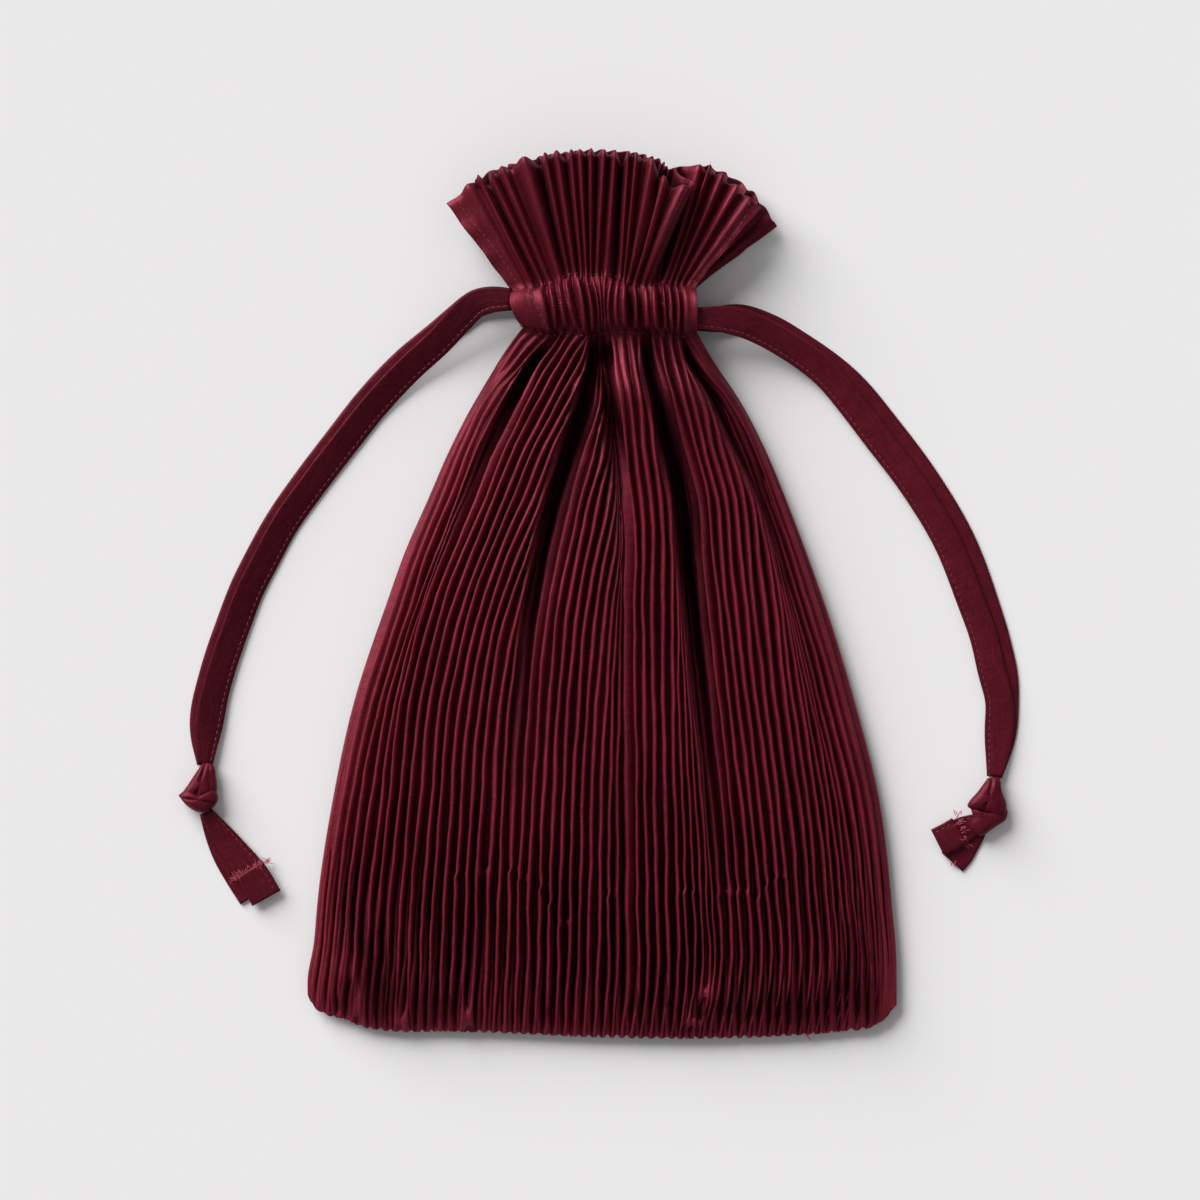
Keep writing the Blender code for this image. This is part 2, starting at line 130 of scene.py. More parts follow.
def new_tree(name, kind, inputs, outputs):
    """A node group with named sockets, and its input and output nodes."""
    tree = bpy.data.node_groups.new(name, kind + "NodeTree")
    for way, sockets in (("INPUT", inputs), ("OUTPUT", outputs)):
        for label, value in sockets.items():
            tree.interface.new_socket(label, in_out=way, socket_type="NodeSocket" + value)
    return tree, tree.nodes.new("NodeGroupInput"), tree.nodes.new("NodeGroupOutput")


def attribute(tree, name, kind="FLOAT"):
    """What a geometry tree reads from the points under a name."""
    node = tree.nodes.new("GeometryNodeInputNamedAttribute")
    node.data_type = kind
    fill(node, {"Name": name})
    return node.outputs["Attribute"]


def join(tree, *pairs):
    """Links each pair of sockets."""
    for source, target in pairs:
        tree.links.new(source, target)


def end_tree(tree, shape, material, result):
    """The end of a geometry tree: a real mesh with its material on."""
    realize = tree.nodes.new("GeometryNodeRealizeInstances")
    dress = tree.nodes.new("GeometryNodeSetMaterial")
    join(tree, (shape, realize.inputs["Geometry"]), (realize.outputs["Geometry"], dress.inputs["Geometry"]),
         (material, dress.inputs["Material"]), (dress.outputs["Geometry"], result.inputs["Geometry"]))
    return tree


def stitch_tree():
    """Lays a small rounded stitch on each point, turned along its "along" vector."""
    tree, given, result = new_tree("lay_stitches", "Geometry", {
        "Geometry": "Geometry", "Stitch length": "Float", "Thread width": "Float", "Thread": "Material",
    }, {"Geometry": "Geometry"})
    given = given.outputs
    bead = tree.nodes.new("GeometryNodeMeshUVSphere")
    fill(bead, {"Segments": 6, "Rings": 5, "Radius": 0.5})
    size = tree.nodes.new("ShaderNodeCombineXYZ")
    turn = tree.nodes.new("FunctionNodeAlignRotationToVector")
    turn.axis = "Z"
    lay = tree.nodes.new("GeometryNodeInstanceOnPoints")
    join(tree, (given["Thread width"], size.inputs["X"]), (given["Thread width"], size.inputs["Y"]),
         (given["Stitch length"], size.inputs["Z"]),
         (attribute(tree, "along", "FLOAT_VECTOR"), turn.inputs["Vector"]),
         (given["Geometry"], lay.inputs["Points"]), (bead.outputs["Mesh"], lay.inputs["Instance"]),
         (turn.outputs["Rotation"], lay.inputs["Rotation"]), (size.outputs["Vector"], lay.inputs["Scale"]))
    return end_tree(tree, lay.outputs["Instances"], given["Thread"], result)


def store(mesh, name, values):
    """Keeps a number or a vector on each point of a mesh."""
    values = np.asarray(values, np.float32)
    kind, label = ("FLOAT_VECTOR", "vector") if values.shape[-1] == 3 else ("FLOAT", "value")
    mesh.attributes.new(name, kind, "POINT").data.foreach_set(label, values.ravel())


def add_tree(piece, tree, values):
    """Puts a geometry tree on a piece, with the values of its named inputs."""
    modifier = piece.modifiers.new(tree.name, "NODES")
    modifier.node_group = tree
    for item in tree.interface.items_tree:
        if item.in_out == "INPUT" and item.name in values:
            modifier[item.identifier] = values[item.name]


def bake_piece(piece):
    """Turns a piece with its modifiers into a plain smooth mesh."""
    bpy.context.view_layer.update()
    evaluated = piece.evaluated_get(bpy.context.evaluated_depsgraph_get())
    mesh = bpy.data.meshes.new_from_object(evaluated)
    piece.modifiers.clear()
    mesh.name = piece.name
    piece.data = mesh
    mesh.polygons.foreach_set("use_smooth", [True] * len(mesh.polygons))


stitching = stitch_tree()


def sew(name, centres, ahead, length=STITCH_LENGTH, width=THREAD_WIDTH, material=thread):
    """One piece of thread: a stitch at each centre, in metres, that points along its own vector."""
    mesh = bpy.data.meshes.new(name)
    mesh.from_pydata([tuple(p) for p in centres], [], [])
    mesh.materials.append(material)
    store(mesh, "along", ahead)
    piece = put(name, mesh)
    add_tree(piece, stitching, {"Stitch length": length, "Thread width": width, "Thread": material})
    bake_piece(piece)
    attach(piece, "root")
    return piece


# ---------------------------------------------------------------- Drawstrings
# Two drawstrings of the pouch's own satin, each a strip that is folded double and stitched along its
# inner edge. Each one's two free ends lie one on the other in a loose bow down to the knot.
TAPE_WIDTH = 9.5 * MM
KNOTTED_TAPE_WIDTH = 5.2 * MM
MOUTH_TAPE_WIDTH = 7.0 * MM
TAPE_COLOUR = (0.122, 0.0060, 0.0148)
TAPE_SHADE = (0.072, 0.0031, 0.0084)
TAPE_GLOSS = 0.22
TAPE_STEP = 1.5 * MM

# Half of the tape's width by half of its thickness in millimetres, round the section from the stitched edge
TAPE_SECTION = (
    (-1, 0), (-0.97, 0.26), (-0.86, 0.34), (-0.72, 0.27), (-0.64, 0.25), (-0.54, 0.36), (-0.25, 0.46),
    (0.1, 0.47), (0.45, 0.45), (0.78, 0.46), (0.93, 0.38), (1, 0.12), (0.99, -0.2), (0.88, -0.37), (0.4, -0.41),
    (-0.2, -0.41), (-0.75, -0.38), (-0.96, -0.24),
)
STITCHED_PLACE = (-0.68, 0.27)
# Ripples along a tape: height in millimetres, and radians in a millimetre
TAPE_RIPPLES = ((0.05, 0.9), (0.04, 0.37))

# Routes of the tapes' middles in metres, from inside each casing's mouth
LEFT_UPPER_ROUTE = (
    (-0.0305, 0.1001, 0.0131), (-0.03715, 0.100075, 0.0125), (-0.0422, 0.0988, 0.0114),
    (-0.0482, 0.0935, 0.0092), (-0.0553, 0.086, 0.0062), (-0.0655, 0.0768, 0.0037), (-0.0777, 0.0639, 0.0018),
    (-0.0872, 0.052, 0.0016), (-0.0984, 0.0374, 0.0016), (-0.108, 0.0238, 0.0016), (-0.1148, 0.0112, 0.0016),
    (-0.1192, 0.0027, 0.0016), (-0.1246, -0.0112, 0.0016), (-0.1297, -0.0262, 0.0016),
    (-0.1328, -0.0384, 0.0016), (-0.1342, -0.0476, 0.0018), (-0.135, -0.0577, 0.0022),
)
LEFT_UNDER_ROUTE = (
    (-0.0305, 0.1001, 0.0026), (-0.03715, 0.100075, 0.0024), (-0.0425, 0.099, 0.0017), (-0.049, 0.0942, 0.001),
    (-0.0564, 0.088, 0.0006), (-0.067, 0.0792, 0.0005), (-0.0795, 0.066, 0.0005), (-0.0891, 0.0537, 0.0005),
    (-0.1003, 0.039, 0.0005), (-0.11, 0.025, 0.0005), (-0.117, 0.0124, 0.0005), (-0.1213, 0.0038, 0.0005),
    (-0.1268, -0.0103, 0.0005), (-0.1319, -0.0255, 0.0005), (-0.1349, -0.038, 0.0005),
    (-0.1357, -0.0475, 0.0006), (-0.1352, -0.0577, 0.0009),
)
RIGHT_UPPER_ROUTE = (
    (0.0305, 0.0934, 0.0131), (0.03715, 0.093425, 0.0125), (0.0478, 0.0918, 0.01), (0.0543, 0.0891, 0.0078),
    (0.0614, 0.0853, 0.0055), (0.0763, 0.0745, 0.0022), (0.0842, 0.0653, 0.0017), (0.092, 0.0551, 0.0016),
    (0.1059, 0.0367, 0.0016), (0.1168, 0.0187, 0.0016), (0.125, -0.0017, 0.0016), (0.1294, -0.0139, 0.0016),
    (0.1321, -0.0255, 0.0016), (0.1348, -0.0367, 0.0016), (0.1347, -0.0452, 0.0016), (0.1341, -0.0534, 0.0018),
    (0.1331, -0.0618, 0.0022),
)
RIGHT_UNDER_ROUTE = (
    (0.0305, 0.0934, 0.0026), (0.03715, 0.093425, 0.0024), (0.0465, 0.094, 0.0012), (0.0558, 0.0912, 0.0006),
    (0.0674, 0.0845, 0.0005), (0.0826, 0.0732, 0.0005), (0.0975, 0.0558, 0.0005), (0.1104, 0.0383, 0.0005),
    (0.122, 0.0184, 0.0005), (0.1301, -0.0032, 0.0005), (0.1341, -0.0165, 0.0005), (0.1366, -0.0293, 0.0005),
    (0.1366, -0.0388, 0.0005), (0.1357, -0.0481, 0.0005), (0.1345, -0.0555, 0.0006), (0.1332, -0.0618, 0.0009),
)


def through(knots, values, at):
    """A smooth curve through values at the knots, read at other places."""
    knots = np.asarray(knots, float)
    values = np.asarray(values, float)
    at = np.asarray(at, float)
    slopes = np.gradient(values, knots, axis=0)
    k = np.clip(np.searchsorted(knots, at, side="right") - 1, 0, len(knots) - 2)
    wide = knots[k + 1] - knots[k]
    s = np.clip((at - knots[k]) / wide, 0.0, 1.0)
    if values.ndim > 1:
        wide = wide[..., None]
        s = s[..., None]
    return (
        values[k] * (1 + 2 * s) * (1 - s) ** 2
        + slopes[k] * wide * s * (1 - s) ** 2
        + values[k + 1] * s * s * (3 - 2 * s)
        - slopes[k + 1] * wide * s * s * (1 - s)
    )


def lengths(points):
    """How far each point is along the line through all of them."""
    return np.concatenate([[0.0], np.cumsum(np.linalg.norm(np.diff(points, axis=0), axis=1))])


def unit(vectors):
    return vectors / np.linalg.norm(vectors, axis=-1, keepdims=True)


def read_line(at, reach, points):
    """Places on the line through some points, at distances along it."""
    return np.stack([np.interp(at, reach, points[:, axis]) for axis in range(3)], axis=1)


def along_route(route, step):
    """Evenly spaced points on a smooth curve through a route, all in metres, and how far along each is."""
    points = np.asarray(route, float)
    reach = lengths(points)
    fine = through(reach, points, np.linspace(0.0, reach[-1], 20 * len(points)))
    reach = lengths(fine)
    even = np.linspace(0.0, reach[-1], max(round(reach[-1] / step), 2) + 1)
    return read_line(even, reach, fine), even


def add_piece(name, points, faces, uvs, material):
    """A smooth mesh object at the origin, with a UV map in metres."""
    mesh = bpy.data.meshes.new(name)
    mesh.from_pydata([tuple(p) for p in points], [], faces)
    layer = mesh.uv_layers.new(name="UVMap")
    layer.data.foreach_set("uv", np.asarray(uvs, np.float32).ravel())
    mesh.materials.append(material)
    mesh.polygons.foreach_set("use_smooth", [True] * len(mesh.polygons))
    mesh.validate()
    mesh.update()
    return put(name, mesh)


def mount(piece, node=None):
    """Fixes a finished piece on the pouch and in place of a node."""
    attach(piece, "root")
    if node:
        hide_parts(node)


def calculator(tree):
    """A function that adds a Math node to a tree, fed by numbers or by other nodes."""
    def maths(operation, a, b=0.0):
        node = tree.nodes.new("ShaderNodeMath")
        node.operation = operation
        for socket, value in zip(node.inputs, (a, b)):
            if isinstance(value, (int, float)):
                socket.default_value = value
            else:
                tree.links.new(value, socket)
        return node.outputs[0]
    return maths


# Satin's parts, by how many lie in a metre across and along, and how fine they are
FLOATS = (2600.0, 300.0, 2.0)
CRINKLES = (700.0, 170.0, 3.0)
SLUBS = (140.0, 2600.0, 2.0)
DYE_CLOUDS = (55.0, 30.0, 3.0)
DYE_RANGE = {"From Min": 0.95, "From Max": 1.25}
SATIN_ROUGHNESS = 0.39
SLUB_ROUGHNESS = 0.18
SATIN_SHINE = 0.24
# Painted shade in folds: how much more metallic the bottom of a fold is, so that its reflection takes the dark ground
# colour, and how much darker its colour is painted
FOLD_SHADE_METALLIC = 0.65
FOLD_PAINTED_SHADE = 0.82
BLACK = (0.0, 0.0, 0.0, 1.0)
WEAVE_BUMP = {"Strength": 0.55, "Distance": 0.22 * MM}
SATIN_LOOK = {
    "IOR": 1.45,
    "Specular Tint": (0.92, 0.80, 1.0, 1.0),
    "Sheen Weight": 0.035,
    "Sheen Roughness": 0.45,
    "Sheen Tint": (0.80, 0.18, 0.28, 1.0),
}


def weave_group():
    """Satin's weave from the UV map in metres: long floats along the cloth, thin slubs across, uneven dye, and
    painted shade that darkens the colour and the reflection in folds.
    """
    tree, given, result = new_tree("satin_weave", "Shader", {"Lit colour": "Color", "Shade colour": "Color"}, {
        "Color": "Color", "Roughness": "Float", "Metallic": "Float", "Height": "Float"})
    maths = calculator(tree)
    uv = tree.nodes.new("ShaderNodeUVMap")
    uv.uv_map = "UVMap"

    def noise(across, along, detail):
        mapping = tree.nodes.new("ShaderNodeMapping")
        fill(mapping, {"Scale": (across, along, 1.0)})
        texture = tree.nodes.new("ShaderNodeTexNoise")
        fill(texture, {"Scale": 1.0, "Detail": detail})
        join(tree, (uv.outputs["UV"], mapping.inputs["Vector"]),
             (mapping.outputs["Vector"], texture.inputs["Vector"]))
        return texture.outputs["Fac"]

    def mix(share, a, b):
        node = tree.nodes.new("ShaderNodeMix")
        node.data_type = "RGBA"
        fill(node, {"A": BLACK})
        join(tree, (share, node.inputs["Factor"]), *([(a, node.inputs["A"])] if a else []), (b, node.inputs["B"]))
        return node.outputs["Result"]

    floats, crinkle, slubs, dye = (noise(*part) for part in (FLOATS, CRINKLES, SLUBS, DYE_CLOUDS))
    weave = maths("ADD", maths("MULTIPLY", floats, 0.5), maths("MULTIPLY", slubs, 0.5))
    tone = maths("ADD", maths("MULTIPLY", dye, 0.6), maths("MULTIPLY", crinkle, 0.4))
    tone = maths("ADD", maths("MULTIPLY", weave, 1.2), tone)
    shade = tree.nodes.new("ShaderNodeMapRange")
    fill(shade, DYE_RANGE)
    colour = mix(shade.outputs["Result"], given.outputs["Shade colour"], given.outputs["Lit colour"])
    # Painted shade: the shade kept on the points darkens the colour and raises the metallic, so the reflection there
    # takes the dark colour too
    fold = tree.nodes.new("ShaderNodeAttribute")
    fold.attribute_name = "painted_shade"
    painted_shade = fold.outputs["Fac"]
    painted_shade_factor = maths("SUBTRACT", 1.0, maths("MULTIPLY", painted_shade, FOLD_PAINTED_SHADE))
    join(
        tree, (tone, shade.inputs["Value"]), (mix(painted_shade_factor, None, colour), result.inputs["Color"]),
        (maths("ADD", maths("MULTIPLY", slubs, SLUB_ROUGHNESS), SATIN_ROUGHNESS), result.inputs["Roughness"]),
        (maths("ADD", maths("MULTIPLY", painted_shade, FOLD_SHADE_METALLIC), SATIN_SHINE), result.inputs["Metallic"]),
        (maths("ADD", maths("MULTIPLY", weave, 0.5), maths("MULTIPLY", crinkle, 1.5)), result.inputs["Height"]),
    )
    return tree


def satin(name, lit, shade, gloss):
    """Burgundy satin: a dark ground, a soft streaked gloss, a faint bloom at grazing angles, and painted shade where
    its points keep it.
    """
    material, shader = new_material(name, {**SATIN_LOOK, "Specular IOR Level": gloss})
    tree = material.node_tree
    group = tree.nodes.new("ShaderNodeGroup")
    group.node_tree = weave
    fill(group, {"Lit colour": (*lit, 1.0), "Shade colour": (*shade, 1.0)})
    bump = tree.nodes.new("ShaderNodeBump")
    fill(bump, WEAVE_BUMP)
    join(tree, (group.outputs["Color"], shader.inputs["Base Color"]),
         (group.outputs["Roughness"], shader.inputs["Roughness"]),
         (group.outputs["Metallic"], shader.inputs["Metallic"]),
         (group.outputs["Height"], bump.inputs["Height"]), (bump.outputs["Normal"], shader.inputs["Normal"]))
    return material


weave = weave_group()
tape_satin = satin("tape_satin", TAPE_COLOUR, TAPE_SHADE, TAPE_GLOSS)


def close_tape(name, rows, reach, girth, turned, node):
    """A closed tape from the lines that run along it. girth says how far round each one lies."""
    grid = np.stack(rows, axis=1)
    count, around = grid.shape[:2]
    corners = [
        [(i * around + j, girth[j], reach[i]), (i * around + (j + 1) % around, girth[j + 1], reach[i]),
         ((i + 1) * around + (j + 1) % around, girth[j + 1], reach[i + 1]),
         ((i + 1) * around + j, girth[j], reach[i + 1])]
        for i in range(count - 1) for j in range(around)
    ]
    if turned:
        corners = [face[::-1] for face in corners]
    for ring, back in ((0, not turned), (count - 1, turned)):
        face = [(ring * around + j, TAPE_SECTION[j][0] * TAPE_WIDTH, reach[ring]) for j in range(around)]
        corners.append(face[::-1] if back else face)
    faces = [[corner[0] for corner in face] for face in corners]
    uvs = [corner[1:] for face in corners for corner in face]
    piece = add_piece(name, grid.reshape(-1, 3), faces, uvs, tape_satin)
    mount(piece, node)
    return piece


def lay_tape(name, node, route, inner, widths, tilt=(0, 0), step=TAPE_STEP, shade=0.0):
    """A folded tape along a route. inner is -1 or 1, the side of its stitched edge. shade is painted shade that
    darkens its colour.
    """
    points, reach = along_route(route, step)
    share = reach / reach[-1]
    ahead = unit(np.gradient(points, axis=0))
    across = unit(np.cross(ahead, (0.0, 0.0, 1.0)))
    up = np.cross(across, ahead)
    lean = np.radians(through(np.linspace(0, 1, len(tilt)), tilt, share))[:, None]
    side = across * np.cos(lean) + up * np.sin(lean)
    top = up * np.cos(lean) - across * np.sin(lean)
    wide = through(np.linspace(0, 1, len(widths)), widths, share) / 2
    (high, quick), (low, slow) = TAPE_RIPPLES
    ripple = high * np.sin(reach / MM * quick + len(name)) + low * np.sin(reach / MM * slow + 2.0)

    def line(a, lift):
        return points - side * (a * inner * wide)[:, None] + top * (lift * MM)[:, None]

    rows = [line(a, h + ripple * (1 - abs(a)) * (h > 0)) for a, h in TAPE_SECTION]
    ring = np.array([row[len(points) // 2] for row in rows + rows[:1]])
    piece = close_tape(name, rows, reach, lengths(ring), inner < 0, node)
    # Painted shade: each point keeps the tape's shade, which the material uses to darken its colour
    store(piece.data, "painted_shade", [shade] * len(piece.data.vertices))
    edge = line(STITCHED_PLACE[0], STITCHED_PLACE[1] + 0 * reach)
    edge = read_line(np.arange(STITCH_PITCH, reach[-1], STITCH_PITCH), reach, edge)
    stitches = sew(name + "_stitches", edge, np.gradient(edge, axis=0))
    return piece, points, reach[-1], stitches


# In each row the last value is painted shade: the left upper tape's colour is darkened as if it lay in shade
for name, route, inner, tilt, shade in (
    ("left_under_tape", LEFT_UNDER_ROUTE, -1, (0, 0, 0), 0.0),
    ("left_upper_tape", LEFT_UPPER_ROUTE, -1, (-4, 14, 12, 14, 9, 0), 0.34),
    ("right_under_tape", RIGHT_UNDER_ROUTE, 1, (0, 0, 0), 0.0),
    ("right_upper_tape", RIGHT_UPPER_ROUTE, 1, (0, 3, -2, 2, 0, 0), 0.0),
):
    widths = [MOUTH_TAPE_WIDTH] + [TAPE_WIDTH] * 14 + [KNOTTED_TAPE_WIDTH]
    strand = name.replace("tape", "strand")
    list(lay_tape(name, strand, route, inner, widths, tilt, shade=shade))


# ---------------------------------------------------------------- Knots
# Each tape's two ends are tied together in one tight overhand knot: a gathered neck above, a wrap that
# crosses it, and a fold under the wrap, all of the same tape.
RIM_POINTS = 72
RIM_LEVELS = 19
RIM_FULLNESS = 0.6


def pillow(name, outline, base, height, creases, node):
    """A closed folded lump of tape with a rounded rim, from an outline and a crown in millimetres."""
    rim = np.asarray(outline, float)
    rim = np.vstack([rim, rim[:1]])
    reach = lengths(rim)
    rim = through(reach, rim, np.linspace(0, reach[-1], RIM_POINTS + 1)[:-1])
    middle = rim.mean(axis=0)
    rings = []
    for turn in np.linspace(0, math.pi, RIM_LEVELS)[1:-1]:
        ring = middle + (rim - middle) * math.sin(turn) ** RIM_FULLNESS
        z = base + height * (0.5 + 0.5 * math.cos(turn))
        lift = np.zeros(len(ring))
        for (x0, y0), (x1, y1), depth, wide in creases if turn < math.pi / 2 else ():
            line = np.array([x1 - x0, y1 - y0])
            near = np.clip(((ring - (x0, y0)) @ line) / np.linalg.norm(line) ** 2, 0, 1)
            away = np.linalg.norm(ring - (np.array([x0, y0]) + near[:, None] * line), axis=1)
            lift -= depth * np.exp(-((away / wide) ** 2))
        rings.append(np.column_stack([ring, z + lift]))
    count = len(rim)
    points = np.vstack([[[*middle, base + height]], *rings, [[*middle, base]]]) * MM
    last = len(points) - 1
    faces = []
    for j in range(count):
        k = (j + 1) % count
        faces.append((0, 1 + j, 1 + k))
        faces += [(a + j, a + count + j, a + count + k, a + k) for a in range(1, last - count, count)]
        faces.append((last, last - count + k, last - count + j))
    if np.cross(np.roll(rim, -1, axis=0) - rim, middle - rim).sum() < 0:
        faces = [face[::-1] for face in faces]
    uvs = [points[v][:2] for face in faces for v in face]
    piece = add_piece(name, points, faces, uvs, tape_satin)
    mount(piece, node)
    return piece


# Each lump's outline, base and height, and its creases with their depths and widths, in millimetres
LUMPS = (
    ("left_knot_neck", "left_knot",
     ((-135.5, -56.8), (-132.4, -57.5), (-131.1, -62.2), (-131.1, -67), (-136.9, -69.7), (-143, -68.7),
      (-140.2, -63.6), (-137.5, -59.5)), 0.3, 5.6,
     (((-134.8, -57.5), (-138.2, -69), 1.0, 0.5), ((-133.5, -58.1), (-132.8, -68.3), 0.7, 0.5))),
    ("left_knot_wrap", None,
     ((-144, -68), (-141.6, -66.3), (-136.9, -67.7), (-131.4, -66.3), (-130.4, -68.7), (-132.1, -72.1),
      (-136.5, -73.8), (-140.9, -71.7)), 0.2, 6.6,
     (((-143.7, -68.7), (-132.1, -70.4), 0.8, 0.4),)),
    ("right_knot_neck", "right_knot",
     ((130.7, -62.2), (134.5, -61.9), (135.5, -66.3), (137.2, -71.7), (136.5, -75.1), (130.1, -73.8),
      (123.9, -71.7), (127.7, -66.3)), 0.3, 5.8,
     (((132.4, -62.9), (129.7, -72.4), 0.8, 0.5), ((133.8, -62.9), (135.2, -72.4), 0.7, 0.5))),
    ("right_knot_wrap", None,
     ((124.3, -70.7), (127.7, -72.4), (133.5, -73.1), (137.2, -72.4), (137.2, -75.8), (133.8, -78.5),
      (127.3, -81.6), (125, -78.5), (125.6, -74.8)), 0.2, 5.2,
     (((125, -72.4), (136.5, -74.1), 0.9, 0.4),)),
)
# All that is on each drawstring: its knot, its tails and their frayed edges
fixed = {"left": [], "right": []}
for name, node, outline, base, height, creases in LUMPS:
    fixed[name.split("_")[0]].append(pillow(name, outline, base, height, creases, node))


# ---------------------------------------------------------------- Tails
# Past each knot the two tape ends are cut off short. The cut ends fray.
TAIL_STEP = 0.8 * MM
# Each end's route and its widths along it, in millimetres
TAILS = (
    ("left_end_under", "left_tail_under",
     ((-134.8, -73.8, 1.2), (-132.4, -79.6, 0.7), (-128.7, -87.4, 0.5), (-123.9, -95.5, 0.5), (-119.2, -102.7, 0.5)),
     (4.4, 7.0, 8.6, 9.0, 9.2)),
    ("left_end_over", "left_tail_over",
     ((-134.5, -73.8, 2.6), (-129.7, -80.6, 1.9), (-124.3, -87.7, 1.6), (-119.2, -94.2, 1.6), (-114.1, -102.7, 1.6)),
     (4.4, 7.4, 9.2, 10.2, 10.4)),
    ("right_end_under", "right_tail_under",
     ((129.4, -76.5, 1.2), (126.7, -79.9, 0.6), (123.6, -84.0, 0.5), (120.9, -88.4, 0.5), (118.8, -90.8, 0.5)),
     (4.6, 8.0, 9.4, 9.8, 9.6)),
    ("right_end_over", "right_tail_over",
     ((129.7, -75.8, 2.6), (126.0, -77.9, 1.9), (121.6, -80.2, 1.6), (117.5, -82.6, 1.6), (114.4, -84.0, 1.6)),
     (4.6, 7.2, 9.0, 9.4, 9.2)),
    ("left_end_turn", None,
     ((-119.9, -93.2, 2.7), (-117.5, -96.9, 2.6), (-114.1, -103.0, 2.4)), (10.6, 10.8, 11.0)),
    ("right_end_turn", None,
     ((121.2, -79.9, 2.7), (117.8, -81.9, 2.6), (113.7, -84.0, 2.4)), (9.8, 9.8, 9.8)),
)
for name, node, route, widths in TAILS:
    side = name.split("_")[0]
    piece, points, length, stitches = lay_tape(
        name, node, np.asarray(route) * MM, -1 if side == "left" else 1, np.asarray(widths) * MM, step=TAIL_STEP)
    fixed[side] += [piece, stitches]

# Places where the cut ends fray, the way the fibres point and how many there are, in millimetres
FRAYS = (
    ((-124.3, -95.9, 3), (-0.5, 0.7), 9), ((-122.2, -94.9, 3), (-0.5, 0.8), 8),
    ((-119.9, -93.5, 3), (-0.5, 0.8), 8), ((-117.5, -92.5, 3), (-0.4, 0.8), 8),
    ((-115.4, -91.1, 3), (0.2, 0.8), 10), ((-114.1, -90.4, 2.4), (0.8, 0.5), 10),
    ((-125.3, -96.2, 2), (-0.9, 0.2), 9), ((120.5, -74.8, 3), (0.3, 0.9), 9),
    ((121.2, -77.2, 3), (0.9, 0.3), 8), ((121.9, -79.9, 3), (0.9, 0.2), 8), ((122.6, -82.6, 3), (0.9, -0.1), 8),
    ((123.6, -84.7, 1.2), (0.9, -0.4), 9), ((119.2, -90.8, 0.9), (0.3, -0.9), 7),
)
FIBRE_LENGTH = 2.0 * MM
FIBRE_WIDTH = 0.24 * MM
# How unevenly the fibres point and are rooted
FIBRE_SPREAD = 0.45
ROOT_SPREAD = 0.7


def fray(name, side, seed):
    """Loose fibres along the cut edges of one drawstring's tails. side is -1 for the left and 1 for the right."""
    chance = np.random.default_rng(seed)
    roots = []
    turns = []
    for place, facing, count in FRAYS:
        for k in range(count if place[0] * side > 0 else 0):
            way = unit(np.array([*facing, 0.0]) + chance.normal(0, FIBRE_SPREAD, 3) * (1, 1, 0.3))
            roots.append((np.array(place) + chance.normal(0, ROOT_SPREAD, 3) * (1, 1, 0.2) + way * 0.35) * MM)
            turns.append(way)
    return sew(name, roots, turns, FIBRE_LENGTH, FIBRE_WIDTH, fibre)


fixed["left"].append(fray("left_frayed_end", -1, 21))
fixed["right"].append(fray("right_frayed_end", 1, 22))


# ---------------------------------------------------------------- Front panel
# The front is one piece of satin in 60 permanent pleats. Two rows of stitches make the casing at the neck,
# where the cloth is drawn together, and the frill above it is turned down inside.
PLEATS = 60
PLEAT_CLOTH = 5.6 * MM
COLUMN_PLACES = (0.0, 0.15, 0.31, 0.50, 0.69, 0.85)
CLOTH_THICKNESS = 0.35 * MM
# Painted shade on each part, given as how far it counts as lying lower, in millimetres: the casing, the cloth below
# the neck, the frill and the turned-down lining
CASING_SHADE = 2.2
NECK_SHADE = 4.4
FRILL_SHADE = 2.2
LINING_SHADE = 1.5
SATIN_COLOUR = (0.208, 0.0118, 0.0258)
SATIN_SHADE = (0.124, 0.0060, 0.0142)
SATIN_GLOSS = 0.36
# How far down a point must lie for its painted shade to be full
SHADE_DEPTH = 10.0 * MM

phase = np.array([pleat + place for pleat in range(PLEATS) for place in COLUMN_PLACES] + [PLEATS])
from_edge = np.minimum(phase, PLEATS - phase)

# Lines of the cloth that the folds follow, by pleat number, and where they lie across, level by level
GUIDES = (0, 6, 18, 30, 41, 55.5, 60)
GUIDE_LEVELS = (88.7, 79.9, 66.3, 49.3, 32.3, 15.3, -1.7, -35.7, -69.7, -103.7, -124.1, -137.7, -144.5, -149.9)
GUIDE_PLACES = (
    (-27, -16.8, -3.9, 0.5, 13.8, 26.7, 32.1), (-34.2, -23.6, -3.9, 0.9, 14.5, 29.1, 37.2),
    (-43, -31.1, -6.6, 2.9, 17.5, 37.2, 46.4), (-51.9, -39.3, -12.1, 4.9, 21.6, 45.7, 55.3),
    (-59.3, -46.1, -17.2, 6.6, 25.7, 53.6, 62.4), (-66.8, -53.2, -20.9, 7.7, 27.4, 59.3, 68.9),
    (-72.9, -59.7, -24.3, 7.3, 29.1, 63.8, 75), (-84.2, -68.2, -27.7, 7.7, 32.8, 72.6, 85.5),
    (-91.6, -72.2, -29.8, 8, 36.9, 80.1, 94), (-96.7, -75.7, -31.5, 8.3, 39.3, 84.2, 98.1),
    (-98.1, -76.7, -31.8, 8.7, 40.3, 85.9, 99.5), (-99.5, -77.4, -32.5, 8, 38.9, 84.2, 99.8),
    (-100.1, -77.7, -32.8, 7, 37.2, 81.4, 99.8), (-100.1, -77.7, -33.2, 6.3, 36.2, 79.7, 99.8),
)
